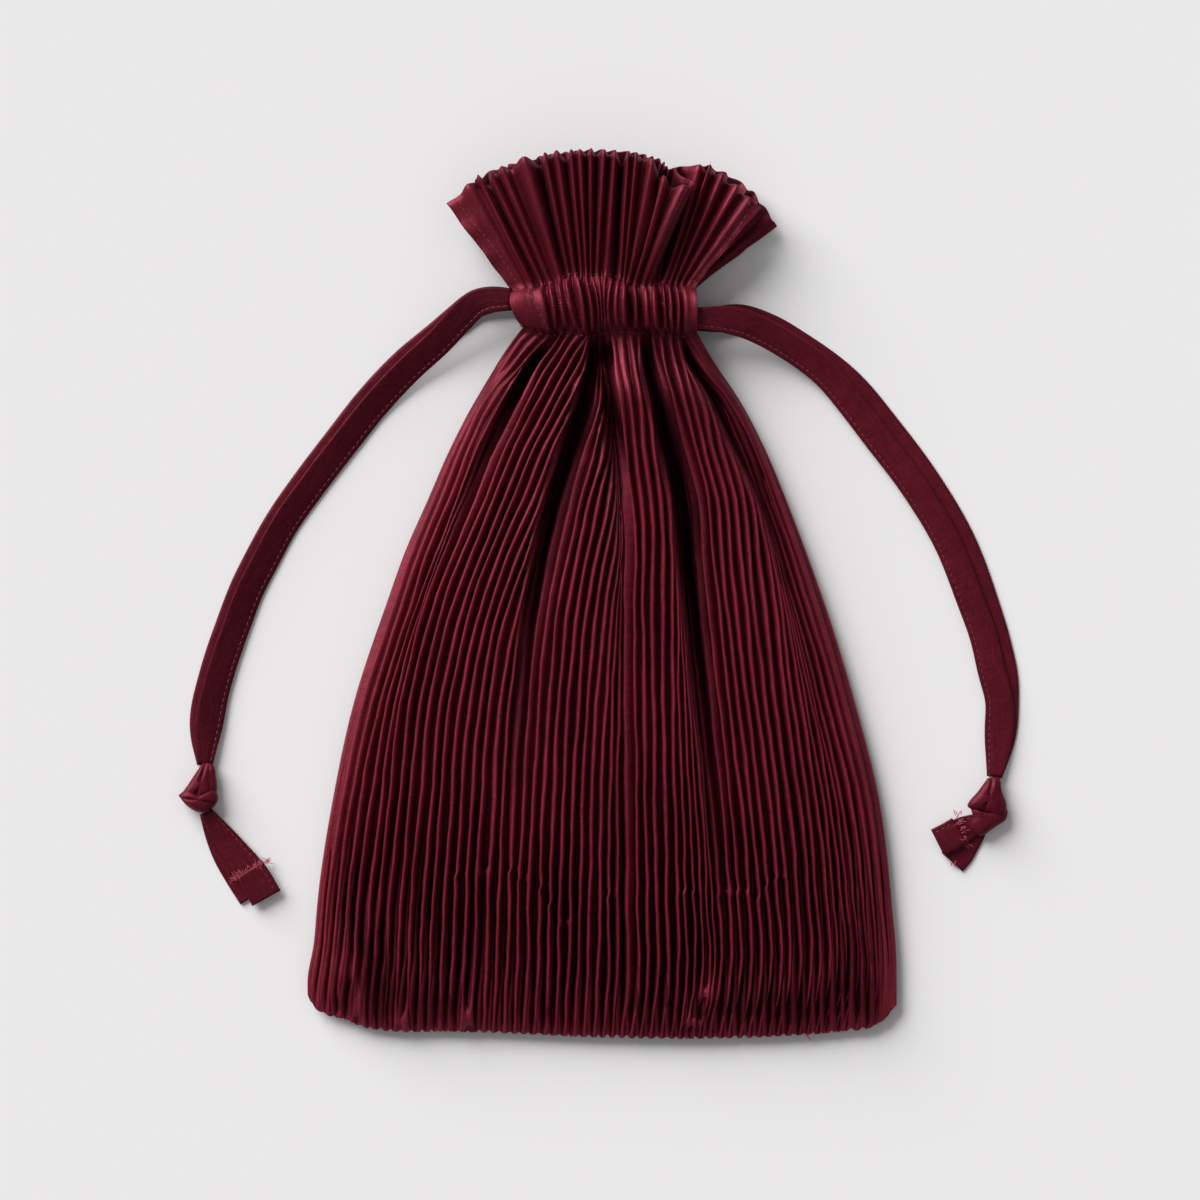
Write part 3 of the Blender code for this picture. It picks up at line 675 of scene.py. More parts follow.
# Depth of the fold that runs along guides 1 to 5, level by level, and how wide it is on its two sides
FOLD_DEPTHS = (
    (0, 1.5, 1, 1, 0), (7, 9, 7, 8, 8), (8, 12, 10, 10, 9), (5.5, 12, 8, 12, 8.5), (3, 11, 4.5, 12, 6),
    (1.2, 8.5, 2.6, 11, 3.4), (0, 6, 1.8, 9, 1.8), (0, 2.6, 1.3, 5.6, 0.4), (0, 0.8, 1.2, 2.8, 0),
    (0, 0, 1, 0.8, 0), (0, 0, 0.8, 0, 0), (0, 0, 0.6, 0, 0), (0, 0, 0.3, 0, 0), (0, 0, 0, 0, 0),
)
FOLD_LEFT_WIDTHS = (1.4, 2.0, 4.6, 2.0, 1.5)
FOLD_RIGHT_WIDTHS = (3.4, 5.5, 1.5, 5.5, 4.0)
# Natural distance from pleat to pleat, and how wide the tucks beside the folds are, level by level
NATURAL_PITCHES = (3.1, 3.4, 3.5, 3.3, 3.3, 3.25, 3.25, 3.25, 3.3, 3.4, 3.4, 3.4, 3.4, 3.4)
TUCK_WIDTHS = (0.8, 0.9, 1, 1.2, 1.5, 2, 3, 6, 8, 9, 9, 9, 9, 9)

BOTTOM_PLACES = (
    -100.5, -99.1, -96.4, -92.7, -86.9, -81.8, -74, -51.9, -29.8, -0.9, 33.2, 63.8, 80.8, 91.6, 96.4, 99.8,
)
BOTTOM_LEVELS = (
    -134.3, -137.7, -140.8, -142.5, -143.8, -146.2, -147.6, -147.9, -148.6, -149.9, -150.3, -149.3, -147.9,
    -146.2, -143.1, -138.7,
)
NECK_LEVEL = 88.7
BOTTOM_LEVEL = -149.9
SEAM_HEIGHT = 3.55
DOME_RISE = 16.5
BACK_RISE = 1.9
# Heights of the neck and the casing above the table, front and back, how much lower their sides are, and how
# far the casing bellies out
FRONT_NECK_HEIGHT = 12.05
BACK_NECK_HEIGHT = 0.95
FRONT_CASING_HEIGHT = 12.3
BACK_CASING_HEIGHT = 0.75
NECK_DROP = 1.2
CASING_BELLY = 5.4
BACK_BELLIES = (-0.35, 3.3)
# The lowest that a fold or a pucker goes, and by how much a pleat's painted shade is raised where it has no room for
# its full depth
FOLD_FLOOR = 3.4
LEAST_HEIGHT = 2.4
MOST_GAIN = 1.7
SECTION_POINTS = 1500

# Pleat height, how full the pleats are and how narrow their crests, level by level
PLEAT_HEIGHTS = (1.4, 3.6, 4.4, 4.6, 4.8, 5, 5, 5, 5.4, 7.2, 7.4, 7, 5, 1)
PLEAT_BREADTHS = (2.4, 2.4, 2.6, 2.8, 2.8, 2.8, 2.8, 2.8, 2.8, 3, 3, 3, 2.6, 2.2)
PLEAT_CRESTS = (1.2, 1.4, 1.5, 1.6, 1.7, 1.7, 1.7, 1.8, 2.2, 3.8, 4, 3.6, 2.4, 1.4)

# Small creased places where a pleat steps aside, smooth patches where pleats open out, and pressed-in puckers,
# as places with their sizes across and along, and their strength
KINKS = (
    (-49.5, -94.5), (-40, -93.5), (-30.8, -92.8), (-27.4, -95.9), (-20.6, -98.6), (-17.9, -104.4),
    (-13.1, -111.2), (2.6, -101.3), (27, -100.3), (30.4, -100.3), (40.6, -100.6), (44.7, -100.6),
    (48.1, -100.6), (52.2, -102.7), (55.6, -98.3), (60, -95.5),
)
PATCHES = (
    ((-87.6, -130.9), 8, 15, 0.9, 1), ((-82.5, -139.1), 4.6, 8, 0.85, 1), ((-67.5, -143.8), 2.8, 5, 0.95, 1.4),
    ((-46.1, -143.5), 2.8, 6, 0.95, 1.4), ((35.2, -135.3), 4.4, 5, 0.95, 1.6),
    ((29.8, -144.8), 4.4, 3.4, 0.9, 1.2), ((96.4, -134.3), 4, 15, 0.95, 0.5), ((4.9, 71.1), 4.6, 17, 0.95, 1),
    ((-37.6, 73.1), 7, 12, 0.85, 0.6), ((37.2, 73.1), 7, 13, 0.85, 0.6),
)
PUCKERS = (
    ((-86.9, -136.3), 1.3, 5, 4.6), ((-86.2, -142.1), 1, 2, 2.8), ((-90.6, -139.4), 1.1, 2.4, 2.6),
    ((-83.5, -144.2), 0.9, 0.9, 1.8), ((32.5, -139.7), 1.6, 3.4, 2.6), ((29.1, -147.2), 1.6, 1.4, 2),
    ((-44.7, -146.9), 1.6, 1, 1.6), ((1.9, 81.3), 1.2, 3.2, 4),
)
# How wide, high and far aside a kink is, and over what length it steps and fades
KINK_WIDTH = 1.5
KINK_LIFT = 0.6
KINK_SHIFT = 0.38
KINK_STEP = 0.9
KINK_REACH = 4.0
# How far the pleats wander to the sides, and over what length
WANDERS = ((0.16, 70), (0.12, 38), (0.07, 21), (0.05, 12))
# Where these start below the neck, and over what length they come in: the neck's painted shade, the line of its
# stitches, the line of the bottom edge and the small loops of the pleats along it
NECK_SHADE_REACH = 42
STITCH_REACH = 16
EDGE_START, EDGE_REACH = 190, 46
LOOP_START, LOOP_REACH = 226, 10
LOOP_SIZE = 1.1
LOOP_RISE = 0.4


def by_pleat(values):
    """A value for each column of the cloth, from one value for each pleat."""
    return np.interp(phase, np.arange(len(values)), values)


def ease(share):
    """A smooth step from 0 to 1."""
    share = np.clip(share, 0.0, 1.0)
    return share * share * (3 - 2 * share)


def bump_at(x, y, place, wide, long):
    """A soft round spot around a place in millimetres, 1 in its middle."""
    return np.exp(-(((x - place[0]) / wide) ** 2) - ((y - place[1]) / long) ** 2)


def level_value(values, y):
    """A value from a table by level, read at y in millimetres. The levels run down."""
    return through(-np.asarray(GUIDE_LEVELS), values, -np.asarray(y, float))


def dome_height(t, s, front):
    """Height of the middle of the cloth across a row, where the sides are seamed."""
    t = np.clip(t, 0, 1)
    s = np.clip(np.abs(s), 0, 1)
    if front:
        return SEAM_HEIGHT + DOME_RISE * (1 - t**3) ** 0.6 * (1 - s**2.6) ** 0.6
    level = (1 - s**12) ** 0.6 * (1 - t**24) ** 0.6
    return BACK_RISE * level + (SEAM_HEIGHT - 0.3) * (1 - level)


def body_section(y, front):
    """A cut across the body at one level: places, heights, how far they lie lowered by folds, which also sets their
    painted shade, and the pleats' places.
    """
    places = level_value(GUIDE_PLACES, y)
    t = (NECK_LEVEL - y) / (NECK_LEVEL - BOTTOM_LEVEL)
    x = np.linspace(places[0], places[-1], SECTION_POINTS)
    middle = (places[0] + places[-1]) / 2
    s = (x - middle) / ((places[-1] - places[0]) / 2)
    open_share = ease(t / 0.10)
    z = dome_height(t, s, front) * open_share
    if not front:
        z = z + BACK_NECK_HEIGHT * (1 - open_share)
        reach = np.concatenate([[0.0], np.cumsum(np.hypot(np.diff(z), np.diff(x)))])
        return x, z, np.zeros(len(x)), np.interp(phase / PLEATS * reach[-1], reach, x)
    slope = np.gradient(z, x)
    z = z + (FRONT_NECK_HEIGHT - NECK_DROP * s * s) * (1 - open_share)
    sunk_and_painted_shade = np.zeros(len(x))
    squeeze = min(1.0, 0.35 + 0.65 * t / 0.16)
    depths = level_value(FOLD_DEPTHS, y)
    for guide, depth, left, right in zip(places[1:-1], depths, FOLD_LEFT_WIDTHS, FOLD_RIGHT_WIDTHS):
        away = x - guide
        sunk_and_painted_shade += depth * np.exp(-((away / (np.where(away < 0, left, right) * squeeze)) ** 2))
    z = np.maximum(z - sunk_and_painted_shade, np.minimum(FOLD_FLOOR, z))
    density = np.hypot(slope * (1 - ease(t / 0.75)), 1.0) / level_value(NATURAL_PITCHES, y)
    step = x[1] - x[0]
    for k in range(len(GUIDES) - 1):
        span = (x >= places[k]) & (x <= places[k + 1])
        held = GUIDES[k + 1] - GUIDES[k]
        seen = density[span].sum() * step
        if seen > held:
            density[span] *= held / seen
            continue
        hidden = places[k] + 0.2 if k == len(GUIDES) - 2 else places[k + 1]
        tuck = np.exp(-(((x[span] - hidden) / level_value(TUCK_WIDTHS, y)) ** 2))
        density[span] += tuck * (held - seen) / max(tuck.sum() * step, 1e-9)
    count = np.concatenate([[0.0], np.cumsum((density[1:] + density[:-1]) / 2 * np.diff(x))])
    count = np.interp(count, np.interp(places, x, count), GUIDES)
    return x, z, sunk_and_painted_shade, np.interp(phase, count, x)


def body_grid(levels, front, seed):
    """The body of a panel before its pleats are pressed, from the neck down, and how far it lies lowered with its
    painted shade added, in mm.
    """
    rows = []
    sunk_and_painted_shade_rows = []
    chance = np.random.default_rng(seed)
    waves = chance.uniform(0, 2 * math.pi, (4, PLEATS + 2))
    uneven = by_pleat(chance.normal(0, 0.22, PLEATS + 1))
    loops = by_pleat(chance.uniform(0.1, 1.0, PLEATS + 1))
    pleat_places = np.stack([body_section(level, front)[3] for level in GUIDE_LEVELS])
    for y in levels:
        places, heights, sinks = body_section(y, front)[:3]
        x = level_value(pleat_places, y)
        z = np.interp(x, places, heights)
        # Painted shade: below the neck the cloth counts as lying lower by NECK_SHADE, fading over NECK_SHADE_REACH,
        # so its colour is darker
        sunk_and_painted_shade = np.interp(x, places, sinks) + NECK_SHADE * (1 - ease((NECK_LEVEL - y) / NECK_SHADE_REACH)) * front
        t = (NECK_LEVEL - y) / (NECK_LEVEL - BOTTOM_LEVEL)
        low = ease((NECK_LEVEL - y - EDGE_START) / EDGE_REACH)
        bottom = through(BOTTOM_PLACES, BOTTOM_LEVELS, np.clip(x, BOTTOM_PLACES[0], BOTTOM_PLACES[-1]))
        level = y + (bottom - BOTTOM_LEVEL) * low
        off = 2 * (phase - np.round(phase))
        loop = LOOP_SIZE * loops * off * off - LOOP_RISE
        level = level + loop * ease((NECK_LEVEL - y - LOOP_START) / LOOP_REACH)
        top = stitch_level(x, LOWER_STITCHES)
        level = level + (top - NECK_LEVEL) * (1 - ease((NECK_LEVEL - y) / STITCH_REACH))
        wander = 0.0
        for row, (size, length) in zip(waves, WANDERS):
            wander = wander + size * np.sin(2 * math.pi * y / length + by_pleat(row))
        wander = wander + uneven * np.minimum(np.gradient(x, phase) / 3.3, 1)
        x = x + wander * ease(t / 0.08) * np.clip(from_edge / 3, 0, 1)
        if front:
            for place in KINKS:
                near = np.exp(-(((x - place[0]) / KINK_WIDTH) ** 2))
                away = level - place[1]
                z = z + KINK_LIFT * near * np.exp(-((away / 1.2) ** 2))
                aside = np.tanh(away / KINK_STEP) * np.exp(-((away / KINK_REACH) ** 2))
                x = x + KINK_SHIFT * near * aside
            for place, wide, long, fade, lift in PATCHES:
                z = z + lift * bump_at(x, level, place, wide, long)
            for place, wide, long, depth in PUCKERS:
                spot = depth * bump_at(x, level, place, wide, long)
                z = np.maximum(z - spot, np.minimum(z, LEAST_HEIGHT))
                # Painted shade: a pucker also counts as lying twice its depth lower, which darkens its colour
                sunk_and_painted_shade = sunk_and_painted_shade + 2.0 * spot
        rows.append(np.column_stack([x, level, z]))
        sunk_and_painted_shade_rows.append(sunk_and_painted_shade)
    return np.stack(rows), np.stack(sunk_and_painted_shade_rows)


# Rows of stitches along the casing, as places across and levels
UPPER_STITCHES = (
    (-31.1, 103), (-28.1, 104), (-22.6, 104.7), (-17.2, 105.7), (-11.1, 108.5), (-4.2, 108.5), (3.2, 108.1),
    (9.4, 105.7), (13.4, 104.7), (23, 105.7), (31.8, 104.4),
)
LOWER_STITCHES = (
    (-27.4, 90.4), (-22.6, 88.7), (-17.2, 87.7), (-11.1, 89.1), (-6, 87.4), (-0.2, 88.1), (6, 88.7),
    (13.4, 88.7), (20.2, 88.1), (26.4, 87.4), (32.1, 88.4),
)
# The gathers between them, crest and valley in turn: places across at the upper row, between and at the lower
# row, and the depth of each valley
CASING_FOLDS = (
    (-30.8, -30.8, -26.7, 0), (-24.7, -23.6, -21.2, 0.4), (-21.6, -19.6, -18.2, 0), (-19.6, -17.9, -16.8, 2.6),
    (-18.2, -16.5, -15.5, 0), (-16.5, -14.8, -14.5, 2.6), (-15.1, -13.8, -12.1, 0), (-14.1, -12.4, -10.7, 2),
    (-12.8, -11.1, -9, 0), (-10.7, -9.4, -7.7, 2.6), (-9, -6.6, -6, 0), (-7, -5.3, -4.6, 3.4),
    (-6, -3.9, -3.2, 0), (-4.9, -2.2, -2.2, 2.6), (-3.9, -1.5, -1.2, 0), (-2.9, -1, -0.7, 1.4),
    (-1.5, -0.5, -0.2, 0), (-0.5, 0, 0.3, 1.4), (0.9, 0.5, 0.9, 0), (2.2, 1, 1.9, 1.6), (3.6, 1.9, 2.9, 0),
    (4.6, 2.9, 3.9, 2), (5.6, 4.6, 5.3, 0), (6.6, 5.6, 6.3, 1), (7.7, 7, 7.7, 0), (8.7, 10, 9.4, 4.2),
    (10.7, 11.4, 11.1, 0), (12.1, 12.8, 13.1, 2.8), (14.5, 15.1, 15.1, 0), (15.8, 16.2, 16.5, 1.4),
    (17.2, 17.5, 18.2, 0), (19.2, 20.2, 20.2, 3.6), (20.2, 21.2, 21.2, 0), (21.2, 21.9, 22.3, 2.4),
    (22.3, 23.3, 23.3, 0), (23.6, 24.7, 24.3, 2.6), (24.7, 26, 25.3, 0), (25.7, 27, 26.4, 1.8),
    (27.4, 28.4, 27.7, 0), (29.8, 30.4, 29.8, 0.3), (31.5, 32.1, 31.8, 0),
)

# The frill's folds, crest and valley in turn: the place and height of the top edge, the place across at the
# upper stitches, and the depth. Right of the middle the cloth falls forward in a lobe, turns back under it
# and comes up again.
FRONT_FOLDS = (
    ((-52.9, 132.3, 11), -30.8, 0), ((-48.8, 135.3, 12.2), -28.4, 0.8), ((-46.1, 138.4, 13.2), -26.7, 0),
    ((-44, 139.7, 14), -25.3, 1.4), ((-42, 141.8, 14.6), -24, 0), ((-40.3, 139.7, 14.8), -21.9, 4.4),
    ((-38.2, 142.8, 15.6), -20.2, 0), ((-36.6, 142.1, 16), -19.2, 2.8), ((-34.2, 144.5, 16.6), -17.9, 0),
    ((-31.8, 144.2, 17), -16.2, 2.6), ((-26.7, 147.6, 18), -14.5, 0), ((-21.9, 146.5, 18.4), -12.4, 5.4),
    ((-19.6, 148.9, 18.8), -11.4, 0), ((-17.9, 148.2, 19), -10.7, 2.4), ((-15.5, 149.6, 19.3), -9.4, 0),
    ((-12.8, 147.6, 19.5), -8, 4.2), ((-10.7, 149.9, 19.7), -7, 0), ((-9.4, 149.3, 19.8), -6.3, 1.8),
    ((-7.7, 149.9, 20), -5.4, 0), ((-5.3, 149.3, 20), -4.6, 3.6), ((-3.9, 150.3, 20), -3.9, 0),
    ((-2.2, 149.3, 20), -3.1, 3.6), ((0.5, 149.9, 20), -1.9, 0), ((2.2, 148.9, 20), -0.7, 2.8),
    ((4.2, 149.3, 20), 1.2, 0), ((6.3, 147.2, 20), 4.6, 6.5), ((8.7, 149.3, 20.2), 6, 0),
    ((10, 148.6, 20.2), 6.6, 1.8), ((11.4, 148.9, 20.4), 7.3, 0), ((13.4, 147.6, 20.6), 7.8, 3),
    ((16.8, 146.5, 21.2), 8.7, 0), ((18.5, 142.5, 21.8), 9.7, 4.2), ((20.9, 140.8, 22.2), 10.9, 0),
    ((23.6, 138.7, 22.6), 12.1, 3), ((27.7, 137.7, 22.8), 13.8, 0), ((30.8, 136.3, 21.5), 15.1, 1.5),
    ((31.1, 139.1, 18.5), 16.2, 0), ((28.1, 141.1, 16.5), 16.8, 0.8), ((25.3, 142.8, 15), 17.5, 0),
    ((27, 144.2, 13.2), 18.5, 1.5), ((32.5, 145.2, 14.6), 20.9, 0), ((34.5, 144.2, 15.2), 21.9, 2.4),
    ((36.2, 145.2, 15.8), 23, 0), ((37.9, 143.1, 16.2), 23.8, 2.8), ((40.6, 142.1, 16.6), 24.7, 0),
    ((43, 139.7, 16.6), 25.7, 2.8), ((45.7, 138, 16.4), 26.7, 0), ((47.8, 135.7, 16), 27.9, 2.2),
    ((50.2, 133.6, 15.4), 29.1, 0), ((51.9, 131.9, 14.8), 30.4, 0.3), ((53.2, 130.2, 14.2), 31.5, 0),
)
BACK_EDGE_GUIDES = (0, 6, 14, 24, 34, 40, 43, 46, 50, 54, 57, 60)
BACK_EDGE = (
    (-51.2, 132.6, 1.6), (-41.7, 141.8, 2.2), (-26.4, 147.6, 3), (-4.2, 151, 4), (14.5, 149.3, 5),
    (20.9, 146.9, 5.5), (22.6, 144.8, 5.5), (28.4, 145.2, 5.5), (36.2, 145.5, 5.5), (45.7, 140.8, 5),
    (52.5, 135.3, 4), (59, 125.1, 2.4),
)
# Between the stitches and the top edge the frill bellies, its lobe rises more, and the hollow under it sinks
FRILL_BELLY = 1.4
LOBE_PLACE, LOBE_WIDTH, LOBE_RISE = 12.1, 3.2, 2.6
HOLLOW_PLACE, HOLLOW_WIDTH, HOLLOW_DROP = 18.2, 2.0, 5.5
# Painted shade in the hollow under the lobe, in millimetres that it counts as lying lower
HOLLOW_SHADE = 5.0
HEM_WIDTH = 1.6
BACK_FRILL_DEPTH = 2.4
BACK_FRILL_MOUTH = (-30.4, 31.8)


def stitch_level(x, row):
    """The level of a row of stitches at places across."""
    places = [point[0] for point in row]
    return through(places, [point[1] for point in row], np.clip(x, places[0], places[-1]))


def casing_grid(shares, front, inner):
    """The casing between its rows of stitches, from the lower row up: places, fold numbers and fold depths."""
    folds = np.asarray(CASING_FOLDS)
    number = np.arange(len(folds)) / 2
    low = body_section(NECK_LEVEL, front)[3]
    top = frill_places(front)[2]
    rows = []
    creases = []
    depths = []
    s = phase / PLEATS * 2 - 1
    for share in shares:
        x = low + (top - low) * ease(share)
        lines = (folds[:, 2] * (1 - share) * (1 - 2 * share) + folds[:, 1] * 4 * share * (1 - share)
                 + folds[:, 0] * share * (2 * share - 1))
        x = lines[0] + (x - x[0]) * (lines[-1] - lines[0]) / (x[-1] - x[0])
        y = stitch_level(x, LOWER_STITCHES) * (1 - share) + stitch_level(x, UPPER_STITCHES) * share
        belly = (4 * share * (1 - share)) ** 0.6
        if front:
            z = FRONT_CASING_HEIGHT - NECK_DROP * s * s + (0.0 if inner else CASING_BELLY) * belly
        else:
            z = BACK_CASING_HEIGHT + BACK_BELLIES[inner] * belly
        rows.append(np.column_stack([x, y, z * np.ones(len(x))]))
        creases.append(np.interp(x, lines, number))
        depths.append(np.interp(x, lines, fold_depths(folds[:, 3])) * (0.45 + 0.55 * belly))
    return np.stack(rows), np.stack(creases), np.stack(depths)


def fold_depths(values):
    """Depths at all fold lines, where a crest takes the mean of the valleys beside it."""
    values = np.asarray(values, float)
    padded = np.concatenate([[values[1]], values, [values[-2]]])
    return np.where(np.arange(len(values)) % 2 == 0, (padded[:-2] + padded[2:]) / 2, values)


def frill_places(front):
    """By column: the frill's fold number, its top edge, the place across at the stitches and the fold depth."""
    if front:
        number = phase / PLEATS * (len(FRONT_FOLDS) - 1)
        lines = np.arange(len(FRONT_FOLDS))
        edge = through(lines, [fold[0] for fold in FRONT_FOLDS], number)
        low = np.interp(number, lines, [fold[1] for fold in FRONT_FOLDS])
        return number / 2, edge, low, np.interp(number, lines, fold_depths([fold[2] for fold in FRONT_FOLDS]))
    chance = np.random.default_rng(12)
    number = np.interp(phase, np.arange(0, PLEATS + 1, 2), np.arange(0, PLEATS // 2 + 1))
    uneven = by_pleat(chance.normal(0, 0.4, PLEATS + 1)) * np.clip(from_edge / 2, 0, 1)
    edge = through(BACK_EDGE_GUIDES, BACK_EDGE, np.clip(phase + uneven, 0, PLEATS))
    low = np.interp(phase, (0, PLEATS), BACK_FRILL_MOUTH)
    depth = by_pleat(chance.uniform(0.5, 1.3, PLEATS + 1))
    return number, edge, low, BACK_FRILL_DEPTH * ease((from_edge - 0.5) / 1.2) * depth


def frill_grid(shares, front):
    """The frill from the upper stitches to its top edge: places, fold numbers, fold depths and the hollow's painted
    shade.
    """
    number, edge, places, depth = frill_places(front)
    low = casing_grid((1.0,), front, False)[0][0]
    lobe = np.exp(-(((places - LOBE_PLACE) / LOBE_WIDTH) ** 2))
    hollow = np.exp(-(((places - HOLLOW_PLACE) / HOLLOW_WIDTH) ** 2))
    belly = FRILL_BELLY + LOBE_RISE * lobe - HOLLOW_DROP * hollow
    hem = np.exp(-from_edge / HEM_WIDTH)
    rows = []
    for share in shares:
        row = low + (edge - low) * share
        if front:
            row[:, 2] += belly * math.sin(math.pi * min(share, 1.0)) ** 0.8
        row[:, 2] += 0.5 * hem * np.sin(share * 21.0 + phase * 0.2)
        row[:, 0] += 0.28 * hem * np.sin(share * 14.0 + 1.0)
        rows.append(row)
    number, depth = (np.tile(values, (len(rows), 1)) for values in (number, depth))
    return np.stack(rows), number, depth, HOLLOW_SHADE * hollow


def press_tree():
    """Presses pleats into a plain carrier: each point moves along its pressing direction by its fold's depth, and
    keeps its painted shade for the material.
    """
    tree, given, result = new_tree("press_pleats", "Geometry", {
        "Geometry": "Geometry", "Pleat height": "Float", "Roundness": "Float", "Shade depth": "Float",
        "Cloth": "Material",
    }, {"Geometry": "Geometry"})
    given = given.outputs
    maths = calculator(tree)
    # 1 on a fold's crest and 0 in the creases beside it
    number = attribute(tree, "fold")
    away = maths("MULTIPLY", maths("ABSOLUTE", maths("SUBTRACT", number, maths("ROUND", number))), 2.0)
    flank = maths("SUBTRACT", 1.0, maths("POWER", away, attribute(tree, "breadth")))
    narrow = maths("MULTIPLY", given["Roundness"], attribute(tree, "crest"))
    ridge = maths("POWER", maths("MAXIMUM", flank, 0.0), narrow)
    pressed = maths("MULTIPLY", maths("MULTIPLY", attribute(tree, "height"), given["Pleat height"]),
                    maths("SUBTRACT", 1.0, ridge))
    # Painted shade: how far the point lies down its fold, raised by its gain, plus how far it counts as lowered, over
    # the shade depth
    painted_shade = maths("ADD", maths("MULTIPLY", pressed, attribute(tree, "painted_shade_gain")), attribute(tree, "sunk_and_painted_shade"))
    painted_shade = maths("MINIMUM", maths("DIVIDE", painted_shade, given["Shade depth"]), 1.0)
    scale = tree.nodes.new("ShaderNodeVectorMath")
    scale.operation = "SCALE"
    move = tree.nodes.new("GeometryNodeSetPosition")
    keep = tree.nodes.new("GeometryNodeStoreNamedAttribute")
    keep.data_type = "FLOAT"
    keep.domain = "POINT"
    fill(keep, {"Name": "painted_shade"})
    join(tree, (attribute(tree, "press", "FLOAT_VECTOR"), scale.inputs[0]),
         (maths("MULTIPLY", pressed, -1.0), scale.inputs["Scale"]),
         (given["Geometry"], move.inputs["Geometry"]), (scale.outputs["Vector"], move.inputs["Offset"]),
         (move.outputs["Geometry"], keep.inputs["Geometry"]), (painted_shade, keep.inputs["Value"]))
    return end_tree(tree, keep.outputs["Geometry"], given["Cloth"], result)


def normals(grid):
    """Upward unit normals of a grid of rows from low to high and columns from left to right."""
    return unit(np.cross(np.gradient(grid, axis=1), np.gradient(grid, axis=0)))


PLEAT_VARIETY = 1 + 0.12 * np.random.default_rng(7).standard_normal(PLEATS + 1)
# How far below the neck each span of rows starts and ends, and how many rows it has
ROW_SPANS = ((0, 24, 12), (24, 176, 33), (176, 204, 21), (204, 228, 13))
BOTTOM_SPAN = 10.5
BOTTOM_ROWS = 9
CASING_ROWS = 16
FRILL_ROWS = 18
# How deep, broad and narrow-crested the folds above the neck are pressed
CASING_PRESS = (1.3, 2.0, 1.5)
FRILL_PRESS = (1.35, 1.9, 1.4)
PLEAT_ROUNDNESS = 1.3
# The layer that is turned down inside: its distance, and where its rows lie down the frill and the casing
LINING_GAP = 0.9
FRILL_LINING = (1.0, 0.97, 0.85, 0.65, 0.4, 0.15, 0.0)
CASING_LINING = (0.75, 0.5, 0.25, 0.05)


